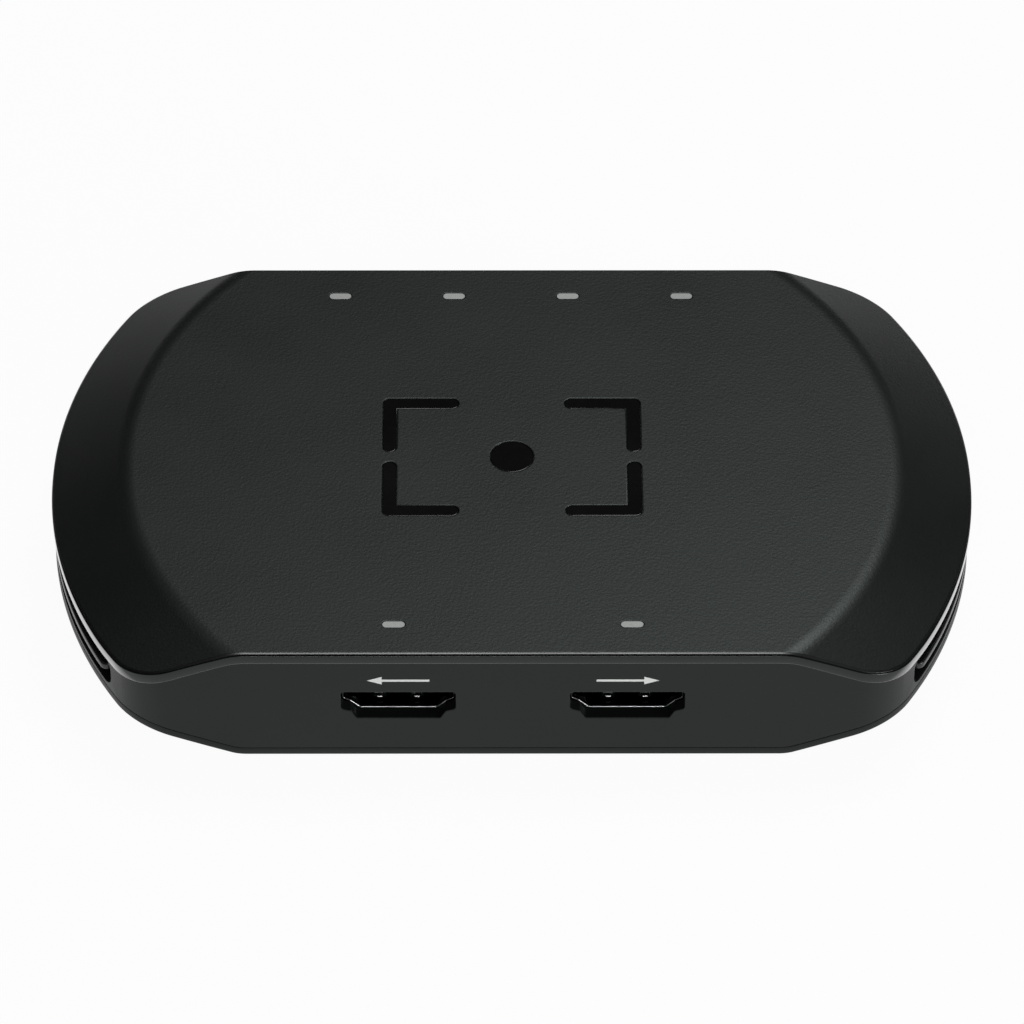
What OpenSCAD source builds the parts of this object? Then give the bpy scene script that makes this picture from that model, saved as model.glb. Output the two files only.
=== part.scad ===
// Desktop video capture box: three-piece housing, board, front video sockets and rear sockets.
// Millimetres, +Z up, front panel towards -Y, origin on the table under the middle of the box.

/* [Housing] */
// Width across the rounded sides
body_w = 126.4; // [118:0.2:140]
// Depth from the front panel to the rear panel
body_d = 75.2; // [72:0.2:84]
// Height of the closed housing without its feet
body_h = 19.8; // [18.8:0.1:24]
// Radius of the four corners in plan
corner_r = 9.2; // [8:0.1:12]
// Width of each sloped wing of the top, from its ridge to the side
wing_w = 10.2; // [9:0.1:12]
// Slope of the top wings
wing_angle = 27; // [23:0.5:29]
// Radius that softens the ridge of the top wings
ridge_blend = 5; // [3:0.5:7]
// Width of each sloped wing of the underside
under_wing_w = 10.6; // [9:0.1:11]
// Slope of the underside wings
under_angle = 28; // [25:0.5:30]
// Radius that softens the ridge of the underside wings
under_blend = 3; // [2:0.5:5]

/* [Shells] */
// Wall of the middle frame
wall = 2; // [1.8:0.1:2.4]
// Thickness of the top cover
cover_t = 1.2; // [1:0.05:1.4]
// Thickness of the bottom cover
floor_t = 1.2; // [1.1:0.1:1.6]
// Width of the frame's lip around the top cover
lip_w = 0.85; // [0.7:0.05:1]
// Gap between the lip and the top cover inside it
rim_gap = 0.2; // [0.1:0.05:0.3]
// Thickness of the top cover's edge over the lip
edge_t = 0.25; // [0.2:0.05:0.35]
// Shadow gap between the cover's edge and the lip
edge_gap = 0.2; // [0.15:0.05:0.3]
// Set-back of the cover's edge from the band
edge_inset = 0.1; // [0.05:0.05:0.3]
// Height of the upright band under the shadow gap
band_h = 1.65; // [1.3:0.05:1.8]
// Set-back of the walls and the bottom cover below the band
band_step = 0.25; // [0.1:0.05:0.4]
// Seam between the frame and the bottom cover
seam_gap = 0.15; // [0.1:0.05:0.3]
// Play between parts that seat on each other
seat_gap = 0.05; // [0.02:0.01:0.1]
// Thickness of the locating ribs inside both covers
rib_t = 1; // [0.8:0.1:1.4]
// Height of the locating ribs
rib_h = 1.4; // [1:0.1:1.8]
// Play between a locating rib and the frame wall
rib_gap = 0.15; // [0.1:0.05:0.3]
// Length of the straight locating ribs of the top cover
cover_rib_l = 68; // [40:1:72]

/* [Side vents] */
// Wall left between the band and the air slot in each side
vent_drop = 0.1; // [0.05:0.05:0.6]
// Wall left between the slot and the bottom cover
vent_sill = 0.5; // [0.4:0.05:0.8]
// Angle left between the end of a slot and the corner
vent_margin = 1.4; // [0:0.1:4]
// Height of the bar along the slot
bar_h = 1.1; // [0.8:0.05:1.3]
// Drop of the bar below the middle of the slot
bar_drop = 0.35; // [0:0.05:0.4]
// Set-back of the bar from the band
bar_setback = 0.3; // [0.3:0.05:0.8]
// Width of the short posts behind the bar
post_w = 1; // [0.8:0.1:1.6]
// Posts behind each bar
post_count = 3; // [2:1:5]

/* [Feet and fasteners] */
// Diameter of a rubber foot
foot_d = 9; // [7.5:0.1:10]
// Height of a foot below the bottom cover
foot_h = 1; // [0.8:0.1:2]
// Depth of the recess that holds a foot
foot_recess = 0.5; // [0.3:0.1:0.7]
// Play around a foot in its recess
foot_gap = 0.2; // [0.1:0.05:0.4]
// Distance from a foot to the underside ridge
foot_margin = 1.2; // [0.8:0.1:3]
// Direction of a foot from the middle, from the X axis
foot_angle = 33; // [29:0.5:35]
// Outer diameter of the case screw bosses
boss_d = 6.4; // [6:0.1:7]
// Outer diameter of the lower bosses that the case screws pass through
lower_boss_d = 7.4; // [7:0.1:8]
// Drop of the lower bosses below the board
boss_drop = 0.3; // [0.2:0.05:0.6]
// Shank diameter of a case screw
screw_d = 2.5; // [2.2:0.1:2.6]
// Head diameter of a case screw
screw_head_d = 4.4; // [4:0.1:4.6]
// Head height of a case screw
screw_head_h = 1.4; // [1.2:0.1:1.6]
// Thread length of a case screw in its insert
screw_grip = 4; // [3:0.1:4.4]
// Radial play of a screw in its hole
screw_gap = 0.15; // [0.1:0.05:0.2]
// Outer diameter of a threaded insert
insert_d = 4.2; // [3.8:0.1:4.4]
// Length of a threaded insert
insert_l = 4.6; // [4.5:0.1:5.5]
// Depth of the hole behind a threaded insert
insert_relief = 1.5; // [1:0.1:2]
// Diameter of a board screw
board_screw_d = 2; // [1.8:0.1:2.2]
// Head diameter of a board screw
board_head_d = 3.8; // [3.4:0.1:4.2]
// Head height of a board screw
board_head_h = 1.3; // [1:0.1:1.6]
// Depth of a board screw in its post
board_screw_grip = 3.2; // [2.5:0.1:3.4]
// Depth of a board post's hole past the tip of its screw
pilot_relief = 0.3; // [0.2:0.05:0.5]
// Diameter of a board post
board_post_d = 5; // [4.4:0.1:5.6]
// Distance from a board post to the side edge of the board
board_post_inset = 4.5; // [3.5:0.1:6]
// Distance between the front and rear board posts
board_post_pitch = 26; // [22:0.5:30]

/* [Board] */
// Thickness of the circuit board
board_t = 1.6; // [1.2:0.1:2]
// Gap between the board and the front and rear walls
board_gap = 0.8; // [0.6:0.1:1.5]
// Distance from the side of the box to the side of the board
board_side = 17.8; // [17:0.1:22]
// Corner radius of the board
board_corner = 3; // [1:0.5:5]
// Play around what passes through the board
board_hole_gap = 0.4; // [0.25:0.05:0.6]

/* [Video sockets] */
// Distance between the middles of the two video sockets
port_pitch = 30.8; // [28:0.1:36]
// Height of the sockets' axis above the bottom cover's underside
port_h = 9.5; // [9.2:0.1:10]
// Width of the socket's opening
open_w = 14.1; // [13.9:0.1:14.6]
// Height of the socket's opening
open_h = 4.55; // [4.45:0.05:4.8]
// Width of the flat bottom of the opening
open_flat = 9.9; // [9:0.1:10.4]
// Height of the straight sides of the opening
open_side = 2.4; // [2:0.1:2.8]
// Width of the shoulder under each straight side
open_shoulder = 1.05; // [0.8:0.05:1.2]
// Drop of the shoulder over its width
shoulder_drop = 0.25; // [0.1:0.05:0.4]
// Sheet metal of the shells
sheet = 0.3; // [0.25:0.05:0.35]
// Depth of a video shell
video_depth = 11; // [10.5:0.1:12]
// Gap between the front wall and a video shell
mouth_gap = 0.35; // [0.2:0.05:0.6]
// Margin of the panel cut-out beside the socket's opening
cutout_side = 0.67; // [0.5:0.01:0.9]
// Margin of the panel cut-out above and below the opening
cutout_rise = 0.33; // [0.3:0.01:0.5]
// How much lower the sides of the panel cut-out end, and how much wider its floor is
cutout_sink = 0.3; // [0:0.05:0.4]
// Height of a video shell above the board
shell_lift = 0.25; // [0.2:0.05:0.4]
// Length of a shell leg along the socket
leg_l = 1.8; // [1.4:0.1:2.4]
// Length of a shell leg below the board
leg_tip = 0.2; // [0.1:0.05:0.4]
// Distance of the legs from the ends of the shell
leg_inset = 2.4; // [1.5:0.1:3]
// Width of the tongue in a video socket
tongue_w = 11.2; // [11:0.1:11.6]
// Thickness of the tongue in a video socket
tongue_t = 1.1; // [0.9:0.05:1.2]
// Height of the tongue's middle above the socket's axis
tongue_rise = 0.35; // [0.2:0.05:0.5]
// Set-back of the tongue from the mouth of the shell
tongue_setback = 2; // [1.9:0.1:2.5]
// Thickness of the block that closes the back of a socket
block_t = 2.2; // [1.8:0.1:3]
// Thickness of the foot of that block behind the shell
block_foot_t = 1.4; // [1:0.1:2]
// Contact pitch of a video socket
video_pitch = 1; // [0.98:0.01:1.02]
// Contacts in the upper row
video_upper = 10; // [8:1:10]
// Contacts in the lower row
video_lower = 9; // [8:1:9]
// Width of a video contact
video_contact_w = 0.3; // [0.25:0.01:0.34]
// Thickness of every contact strip
contact_t = 0.13; // [0.1:0.01:0.15]
// Set-back of the contacts from the tip of their tongue
contact_setback = 0.6; // [0.4:0.05:0.8]
// Length of the solder tail of a contact
tail_l = 0.7; // [0.5:0.05:0.9]
// Distance from a socket's block to the tails of the lower row
lower_tail = 0.35; // [0.25:0.05:0.45]
// Distance from a socket's block to the tails of the upper row
upper_tail = 1.25; // [1.2:0.05:1.5]
// Play around a contact in its block
contact_gap = 0.02; // [0.01:0.005:0.03]
// Width of a retaining spring
spring_w = 1.3; // [1:0.1:1.6]
// Length of a retaining spring
spring_l = 5.8; // [5:0.1:6.2]
// Thickness of a retaining spring
spring_t = 0.22; // [0.18:0.01:0.24]
// Rise of a retaining spring into the opening at rest
spring_angle = 4; // [3:0.5:5]
// Distance between the two retaining springs
spring_pitch = 5; // [4:0.1:5.6]
// Distance from the mouth to the tip of a spring
spring_setback = 2.2; // [2.2:0.1:2.8]
// Radius of the contact bead near the tip of a spring
bead_r = 0.28; // [0.2:0.01:0.3]
// Distance from the tip of a spring to its bead
bead_setback = 0.85; // [0.6:0.05:1.2]
// Gap around a spring in its window
spring_gap = 0.25; // [0.2:0.05:0.35]

/* [Rear sockets] */
// Distance between neighbouring rear sockets
rear_pitch = 15.9; // [14:0.1:17]
// Diameter of a jack's plug hole in the collar
jack_bore = 3.6; // [3.55:0.01:3.8]
// Widening of the plug hole inside a jack's body
jack_relief = 0.2; // [0.1:0.05:0.4]
// Depth of the plug hole
jack_depth = 14.1; // [13.5:0.1:15]
// Outer diameter of a jack's collar
collar_d = 6; // [5.4:0.1:6.4]
// Set-back of a collar from the rear face
collar_setback = 0.3; // [0.25:0.05:0.6]
// Play around a collar in the rear panel
collar_gap = 0.2; // [0.1:0.05:0.4]
// Width of a jack's body
jack_w = 6.6; // [6.2:0.1:7.4]
// Height of a jack's body above its axis
jack_rise = 2.6; // [2.4:0.1:3]
// Wall at the back of a jack's body
jack_back_t = 0.8; // [0.6:0.1:1.5]
// Length of a jack's contact spring
jack_spring_l = 6.4; // [5.5:0.1:7]
// Height of a jack's contact spring
jack_spring_h = 1.2; // [1:0.1:1.4]
// Lean of a jack's contact spring into the plug hole at rest
jack_spring_angle = 7; // [6:0.5:8]
// Distance from a jack's axis to the pivot of its spring
jack_spring_x = 2.6; // [2.5:0.05:2.8]
// Distance from the front of a jack's body to the pivot of its spring
jack_spring_inset = 3.3; // [2.5:0.1:3.6]
// Width of a jack's solder tab
tab_w = 0.9; // [0.7:0.05:1.2]
// Length of a jack's solder tab
tab_l = 1.4; // [1:0.1:1.8]
// Distance of the solder tabs from the ends of a jack's body
tab_inset = 3; // [2:0.1:4]
// Width of the data socket's shell
data_w = 8.94; // [8.8:0.02:9.2]
// Height of the data socket's shell
data_h = 3.26; // [3.2:0.02:3.4]
// Depth of the data socket's shell
data_depth = 7.4; // [7:0.1:8.5]
// Set-back of the data shell from the rear face
data_setback = 0.5; // [0.2:0.1:1]
// Play around the data shell in the rear panel
data_gap = 0.3; // [0.2:0.05:0.5]
// Width of the data socket's tongue
data_tongue_w = 6.7; // [6.5:0.05:6.9]
// Thickness of the data socket's tongue
data_tongue_t = 0.7; // [0.6:0.05:0.8]
// Set-back of the data socket's tongue from the mouth of its shell
data_tongue_setback = 1; // [0.8:0.1:1.4]
// Contacts in each row of the data socket
data_count = 12; // [8:1:12]
// Contact pitch of the data socket
data_pitch = 0.5; // [0.48:0.01:0.52]
// Width of a data contact
data_contact_w = 0.25; // [0.2:0.01:0.28]

/* [Light guides] */
// Length of a light window in the top
window_w = 3.1; // [2.4:0.1:3.4]
// Distance between the two front light windows
front_pitch = 32; // [28:0.1:36]
// Width of a light window in the top
window_h = 1.2; // [0.9:0.05:1.4]
// Distance from the windows to the edge of the top cover
window_inset = 4.5; // [4:0.1:5.5]
// Play around a guide in its window
window_gap = 0.05; // [0.03:0.01:0.1]
// Width of a guide's arm
guide_w = 3; // [3:0.1:3.6]
// Height of a guide's arm
guide_h = 1.6; // [1.2:0.1:2]
// Side of a guide's post over a light
guide_post = 2; // [1.6:0.1:2.4]
// Diameter of the pegs that hold the guides
peg_d = 1.4; // [1.2:0.1:1.6]
// Width of a status light
light_w = 1.6; // [1.2:0.1:1.8]
// Depth of a status light
light_d = 0.8; // [0.6:0.05:1]
// Height of a status light
light_h = 0.7; // [0.5:0.05:0.9]
// Gap between a light and the guide above it
light_gap = 0.3; // [0.2:0.05:0.6]
// Distance from the contacts of the video sockets to the front lights
front_light_gap = 1.2; // [0.8:0.1:1.6]
// Distance from the jacks to the rear lights
rear_light_gap = 2.2; // [1.8:0.1:3]

/* [Top sign] */
// Width of the inlaid sign
sign_w = 35.5; // [28:0.5:40]
// Depth of the inlaid sign from front to back
sign_d = 22.9; // [18:0.5:26]
// Line width of the sign
sign_line = 2; // [1.4:0.1:2.6]
// Length of the sign's corner legs
sign_leg = 8.5; // [6:0.5:9]
// Diameter of the dot in the middle of the sign
sign_dot = 6; // [4:0.5:8]
// Depth of the pocket for the sign
sign_pocket = 0.35; // [0.25:0.05:0.5]
// Thickness of the inlay
sign_t = 0.25; // [0.15:0.05:0.25]

/* [Electronics] */
// Side of the video processor
chip_w = 18; // [15:0.5:20]
// Height of the video processor
chip_h = 1.4; // [1:0.1:2]
// Thickness of the thermal pad
pad_t = 0.5; // [0.3:0.1:1]
// Width of the heat sink
sink_w = 34; // [28:1:36]
// Depth of the heat sink
sink_d = 24; // [20:1:26]
// Thickness of the heat sink's base
sink_base = 1.6; // [1.2:0.1:2]
// Thickness of a fin
fin_t = 1; // [0.8:0.1:1.2]
// Fins on the heat sink
fin_count = 8; // [6:1:9]
// Gap between the fins and the top cover
fin_gap = 1.6; // [1:0.1:3]
// Side of the small square chips
small_chip_w = 6; // [5:0.5:6.5]
// Height of the small chips
small_chip_h = 0.9; // [0.7:0.05:1.1]
// Gap between the lights and the rows of small chips
chip_row_gap = 1.3; // [0.8:0.1:1.6]
// Width of a memory chip
memory_w = 9; // [8:0.5:10]
// Length of a memory chip
memory_l = 12; // [10:0.5:13]
// Height of a memory chip
memory_h = 1; // [0.8:0.05:1.2]
// Distance between the middles of the memory chips
memory_pitch = 15; // [14:0.5:18]
// Gap between the heat sink and the memory chips
memory_gap = 4.5; // [1:0.5:6]
// Diameter of an electrolytic capacitor
can_d = 6.3; // [5:0.1:6.5]
// Height of an electrolytic capacitor
can_h = 7.2; // [5:0.1:7.8]
// Distance between the middles of the electrolytic capacitors
can_pitch = 9; // [7:0.5:10]
// Gap between the electrolytic capacitors and the power inductors
can_gap = 2.4; // [1:0.1:2.5]
// Side of a power inductor
coil_w = 5; // [4:0.5:6]
// Height of a power inductor
coil_h = 3; // [2:0.1:4]
// Gap between neighbouring power inductors
coil_spacing = 2; // [1:0.1:3]
// Gap between the heat sink and the power inductors
coil_gap = 5.5; // [1:0.1:5.5]
// Length of a crystal
crystal_w = 3.2; // [2.5:0.1:4]
// Width of a crystal
crystal_d = 2.5; // [2:0.1:3]
// Height of a crystal
crystal_h = 0.8; // [0.6:0.05:1]
// Distance of each crystal from the middle of its row
crystal_shift = 3; // [0:0.5:3]
// Length of a ceramic capacitor
cap_w = 1.6; // [1:0.1:2]
// Width of a ceramic capacitor
cap_d = 0.8; // [0.5:0.05:1.2]
// Height of a ceramic capacitor
cap_h = 0.8; // [0.5:0.05:1]
// Distance between neighbouring ceramic capacitors
cap_pitch = 2.4; // [1.6:0.1:2.8]
// Gap between the processor and the ceramic capacitors
cap_gap = 1.2; // [0.5:0.1:2]
// Ceramic capacitors on each side of the processor
cap_count = 6; // [2:1:6]

/* [Hidden] */
$fn = 64;
eps = 0.01;
over = 1;

// Plan of the housing
side_r = body_w / 2;
half_d = body_d / 2;
corner_y = half_d - corner_r;
corner_x = sqrt(pow(side_r - corner_r, 2) - pow(corner_y, 2));
corner_angle = atan2(corner_y, corner_x);
reach = side_r + 2 * over;
corner_reach = reach * tan(corner_angle);

// Heights of the stack
base_z = foot_h;
top_z = base_z + body_h;
ceiling_z = top_z - cover_t;
floor_z = base_z + floor_t;
port_z = base_z + port_h;
video_h = open_h + 2 * sheet;
board_top = port_z - video_h / 2 - shell_lift;
board_bottom = board_top - board_t;
board_drop = port_z - board_top;

// Ridges, cover's edge and vents
ridge_r = side_r - wing_w;
under_ridge_r = side_r - under_wing_w;
cover_inset = lip_w + rim_gap;
blend_steps = 6;
bar_overlap = 0.5;
wing_drop = wing_w * tan(wing_angle);
under_rise = under_wing_w * tan(under_angle);
lip_depth = edge_t + edge_gap;
vent_top = top_z - wing_drop - lip_depth - band_h - vent_drop;
vent_bottom = base_z + under_rise + floor_t + seam_gap + vent_sill;
bar_z = (vent_top + vent_bottom) / 2 - bar_drop;
vent_angle = corner_angle - vent_margin;

// Sockets
port_x = port_pitch / 2;
ports = [-port_x, port_x];
mouth_y = -half_d + wall + mouth_gap;
leg_spots = [leg_inset, video_depth - leg_inset];
jacks = [-1.5 * rear_pitch, -0.5 * rear_pitch, 0.5 * rear_pitch];
data_x = 1.5 * rear_pitch;
jack_front = wall + mouth_gap;
jack_body_l = jack_depth + jack_back_t - jack_front;
jack_hole = jack_bore + 2 * jack_relief;
jack_spring_y = jack_front + jack_spring_inset;
data_z = board_top + data_h / 2;

// Feet and bosses
foot_reach = under_ridge_r - foot_d / 2 - foot_margin;
foot_x = foot_reach * cos(foot_angle);
foot_y = foot_reach * sin(foot_angle);
foot_spots = [for (sx = [-1, 1], sy = [-1, 1]) [sx * foot_x, sy * foot_y]];
recess_z = base_z + foot_recess;
seat_z = recess_z + screw_head_h + 2 * seat_gap;
boss_z = board_bottom - boss_drop;
boss_hole_d = screw_d + 2 * screw_gap;
insert_z = boss_z + seat_gap;
board_w = body_w - 2 * board_side;
board_d = body_d - 2 * (wall + board_gap);
post_x = board_w / 2 - board_post_inset;
board_posts = [for (sx = [-1, 1], sy = [-1, 1]) [sx * post_x, sy * board_post_pitch / 2]];

// Lights and their guides
window_y = half_d - cover_inset - window_inset;
front_light_y = mouth_y + video_depth + block_foot_t + upper_tail + tail_l + front_light_gap;
rear_light_y = half_d - jack_front - jack_body_l - rear_light_gap;
front_windows = [-front_pitch / 2, front_pitch / 2];
rear_windows = concat(jacks, [data_x]);
guide_top = ceiling_z - seat_gap;
guide_bottom = guide_top - guide_h;
peg_x = port_x / 2;

// Board layout
sink_bottom = board_top + chip_h + pad_t;
small_chip_row = front_light_y + small_chip_w / 2 + chip_row_gap;
rear_chip_row = rear_light_y - small_chip_w / 2 - chip_row_gap;
memory_x = -sink_w / 2 - memory_gap - memory_w / 2;
memory_spots = [for (s = [-1, 1]) [memory_x, s * memory_pitch / 2]];
coil_x = sink_w / 2 + coil_gap + coil_w / 2;
coil_spots = [for (i = [-1, 0, 1]) [coil_x, i * (coil_w + coil_spacing)]];
can_x = coil_x + coil_w / 2 + can_gap + can_d / 2;
can_spots = [for (s = [-1, 1]) [can_x, s * can_pitch / 2]];
crystal_spots = [[-crystal_shift, small_chip_row], [crystal_shift, rear_chip_row]];
cap_x = chip_w / 2 + cap_gap + cap_w / 2;
small_chip = [small_chip_w, small_chip_w, small_chip_h];
memory_chip = [memory_w, memory_l, memory_h];
coil = [coil_w, coil_w, coil_h];
crystal = [crystal_w, crystal_d, crystal_h];
cap = [cap_w, cap_d, cap_h];

// Colours
shell_black = [0.19, 0.2, 0.2];
frame_black = [0.18, 0.19, 0.19];
base_black = [0.17, 0.18, 0.18];
gloss_black = [0.05, 0.05, 0.05];
clear_grey = [0.66, 0.67, 0.66];
steel = [0.62, 0.63, 0.65];
dark_steel = [0.2, 0.2, 0.21];
gold = [0.83, 0.66, 0.3];
bronze = [0.72, 0.55, 0.36];
brass = [0.78, 0.62, 0.33];
board_green = [0.08, 0.28, 0.16];
chip_black = [0.09, 0.09, 0.1];
rubber_black = [0.07, 0.07, 0.07];
ceramic_tan = [0.66, 0.55, 0.42];
aluminium = [0.72, 0.73, 0.75];
pad_blue = [0.45, 0.6, 0.75];
coil_grey = [0.25, 0.25, 0.26];

// List in reverse order
function reversed(list) = [for (i = [len(list) - 1 : -1 : 0]) list[i]];

// Outer line of the top from the middle outwards, at a depth below its face
function top_line(depth) =
    let (start = ridge_r - ridge_blend * tan(wing_angle / 2))
    concat(
        [[0, top_z - depth]],
        [for (i = [0:blend_steps]) let (a = wing_angle * i / blend_steps)
            [start + ridge_blend * sin(a), top_z - depth - ridge_blend * (1 - cos(a))]],
        [[reach, top_z - depth - (reach - ridge_r) * tan(wing_angle)]]
    );

// Outer line of the underside from the middle outwards, at a height above its face
function under_line(height) =
    let (start = under_ridge_r - under_blend * tan(under_angle / 2))
    concat(
        [[0, base_z + height]],
        [for (i = [0:blend_steps]) let (a = under_angle * i / blend_steps)
            [start + under_blend * sin(a), base_z + height + under_blend * (1 - cos(a))]],
        [[reach, base_z + height + (reach - under_ridge_r) * tan(under_angle)]]
    );

// Plan of the housing: straight front and rear, sides on one circle, rounded corners
module plan(inset = 0) {
    square([2 * corner_x, body_d - 2 * inset], center = true);
    intersection() {
        circle(r = side_r - inset);
        for (s = [-1, 1])
            polygon([[0, 0], [s * reach, corner_reach], [s * reach, -corner_reach]]);
    }
    for (sx = [-1, 1], sy = [-1, 1])
        translate([sx * corner_x, sy * corner_y])
            circle(r = corner_r - inset);
}

// Upright prism over the plan, taller than the housing
module plan_prism(inset = 0) {
    linear_extrude(height = top_z + over)
        plan(inset);
}

// Upright ring between two insets of the plan
module plan_ring(outer, inner) {
    linear_extrude(height = top_z + over)
        difference() {
            plan(outer);
            plan(inner);
        }
}

// Layer under the face of the top, between two depths
module top_layer(from, to) {
    rotate_extrude()
        polygon(concat(top_line(from), reversed(top_line(to))));
}

// Layer over the face of the underside, between two heights
module under_layer(from, to) {
    rotate_extrude()
        polygon(concat(under_line(from), reversed(under_line(to))));
}

// Everything between the underside and the top
module core(top_depth, under_height) {
    rotate_extrude()
        polygon(concat(top_line(top_depth), reversed(under_line(under_height))));
}

// Rectangle with round corners
module round_rect(w, d, r) {
    square([w - 2 * r, d], center = true);
    square([w, d - 2 * r], center = true);
    for (sx = [-1, 1], sy = [-1, 1])
        translate([sx * (w / 2 - r), sy * (d / 2 - r)])
            circle(r = r);
}

// Slot with full round ends
module stadium(w, h) {
    square([w - h, h], center = true);
    for (s = [-1, 1])
        translate([s * (w - h) / 2, 0])
            circle(d = h);
}

// Outline of a video socket's opening, grown sideways, up and down, and about its shoulders
module video_outline(side = 0, rise = 0, sink = 0) {
    top = open_h / 2 + rise;
    low_side = open_h / 2 - open_side - rise * 0.5 - sink;
    shoulder_x = open_w / 2 - open_shoulder + side * 0.6;
    shoulder_z = open_h / 2 - open_side - shoulder_drop - rise - sink;
    flat_x = open_flat / 2 + side * 0.6 + sink;
    polygon([
        [-open_w / 2 - side, top], [open_w / 2 + side, top],
        [open_w / 2 + side, low_side], [shoulder_x, shoulder_z], [flat_x, -top],
        [-flat_x, -top], [-shoulder_x, shoulder_z], [-open_w / 2 - side, low_side]
    ]);
}

// Prism of an upright outline that runs inwards from a socket's mouth
module inward(length) {
    translate([0, length, 0])
        rotate([90, 0, 0])
            linear_extrude(height = length)
                children();
}

// Places a front video socket, mouth at the origin, inwards along +Y
module at_port(x) {
    translate([x, mouth_y, port_z])
        children();
}

// Places a rear socket, rear face at the origin, inwards along +Y
module at_rear(x, z) {
    translate([x, half_d, z])
        rotate([0, 0, 180])
            children();
}

// Box from its middle in X, its first Y and its lowest Z
module block(x, y, z, w, l, h) {
    translate([x - w / 2, y, z])
        cube([w, l, h]);
}

// Contact strip along a tongue, down behind the socket and along the board
module contact(x, w, from, to, level, board_z, grow = 0) {
    block(x, from - grow, level - grow, w + 2 * grow, to - from + grow, contact_t + 2 * grow);
    block(x, to - contact_t, board_z, w, contact_t, level + contact_t - board_z);
    block(x, to - contact_t, board_z, w, tail_l, contact_t);
}

// Slot for the bar or the air in one side wall
module side_band(inner_r, outer_r, low, high, half_angle) {
    for (turn = [0, 180])
        rotate([0, 0, turn - half_angle])
            rotate_extrude(angle = 2 * half_angle)
                translate([inner_r, low])
                    square([outer_r - inner_r, high - low]);
}

// Corner brackets and dot of the sign, with a line width
module sign_shapes(line) {
    for (sx = [-1, 1], sy = [-1, 1])
        scale([sx, sy])
            translate([sign_w / 2 - sign_line / 2, sign_d / 2 - sign_line / 2]) {
                circle(d = line);
                translate([-sign_leg, -line / 2])
                    square([sign_leg, line]);
                translate([-sign_leg, 0])
                    circle(d = line);
                translate([-line / 2, -sign_leg])
                    square([line, sign_leg]);
                translate([0, -sign_leg])
                    circle(d = line);
            }
    circle(d = sign_dot + line - sign_line);
}

// Bosses of the top cover, clipped under its face
module cover_bosses() {
    intersection() {
        for (p = foot_spots)
            translate([p.x, p.y, insert_z])
                cylinder(d = boss_d, h = top_z - insert_z);
        top_layer(cover_t / 2, body_h);
    }
}

// Cover of the top: flat, wings, thin edge, bosses, locating ribs and pegs for the light guides
module top_cover() color(shell_black) {
    rib_y = half_d - wall - rib_gap - rib_t;
    difference() {
        union() {
            intersection() {
                plan_prism(cover_inset);
                top_layer(0, cover_t);
            }
            intersection() {
                plan_prism(edge_inset);
                top_layer(0, edge_t);
            }
            cover_bosses();
            for (s = [-1, 1])
                block(0, s > 0 ? rib_y : -rib_y - rib_t, ceiling_z - rib_h, cover_rib_l, rib_t, rib_h + eps);
            for (s = [-1, 1])
                for (y = [front_light_y, rear_light_y])
                    translate([s * peg_x, y, guide_bottom - seat_gap])
                        cylinder(d = peg_d, h = guide_h + 2 * seat_gap + eps);
        }
        for (x = front_windows)
            translate([x, -window_y, ceiling_z - over])
                linear_extrude(height = cover_t + 2 * over)
                    stadium(window_w, window_h);
        for (x = rear_windows)
            translate([x, window_y, ceiling_z - over])
                linear_extrude(height = cover_t + 2 * over)
                    stadium(window_w, window_h);
        translate([0, 0, top_z - sign_pocket])
            linear_extrude(height = sign_pocket + over)
                sign_shapes(sign_line);
        for (p = foot_spots)
            translate([p.x, p.y, insert_z - over]) {
                cylinder(d = insert_d + 2 * seat_gap, h = insert_l + seat_gap + over);
                cylinder(d = boss_hole_d, h = insert_l + over + insert_relief);
            }
    }
}

// Frame between the covers: walls, lip, upright band, port cut-outs and side air slots
module mid_frame() color(frame_black) {
    difference() {
        intersection() {
            plan_ring(0, wall);
            core(lip_depth, floor_t + seam_gap);
        }
        intersection() {
            plan_prism(lip_w);
            top_layer(-over, cover_t + seat_gap);
        }
        intersection() {
            plan_ring(-over, band_step);
            top_layer(lip_depth + band_h, body_h + over);
        }
        for (x = ports)
            translate([x, -half_d - over, port_z])
                inward(wall + 2 * over)
                    video_outline(cutout_side, cutout_rise, cutout_sink);
        for (x = jacks)
            at_rear(x, port_z)
                translate([0, -over, 0])
                    rotate([-90, 0, 0])
                        cylinder(d = collar_d + 2 * collar_gap, h = wall + 2 * over);
        at_rear(data_x, data_z)
            translate([0, -over, 0])
                inward(wall + 2 * over)
                    stadium(data_w + 2 * data_gap, data_h + 2 * data_gap);
        side_band(side_r - wall - over, side_r + over, vent_bottom, vent_top, vent_angle);
    }
    side_band(
        side_r - wall + eps, side_r - bar_setback,
        bar_z - bar_h / 2, bar_z + bar_h / 2, vent_angle + bar_overlap
    );
    for (turn = [0, 180])
        for (i = [0:post_count - 1])
            rotate([0, 0, turn + vent_angle * (2 * (i + 1) / (post_count + 1) - 1)])
                translate([side_r - wall + 3 * eps, -post_w / 2, vent_bottom - eps])
                    cube([(wall - bar_setback) / 2, post_w, vent_top - vent_bottom + 2 * eps]);
}

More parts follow.
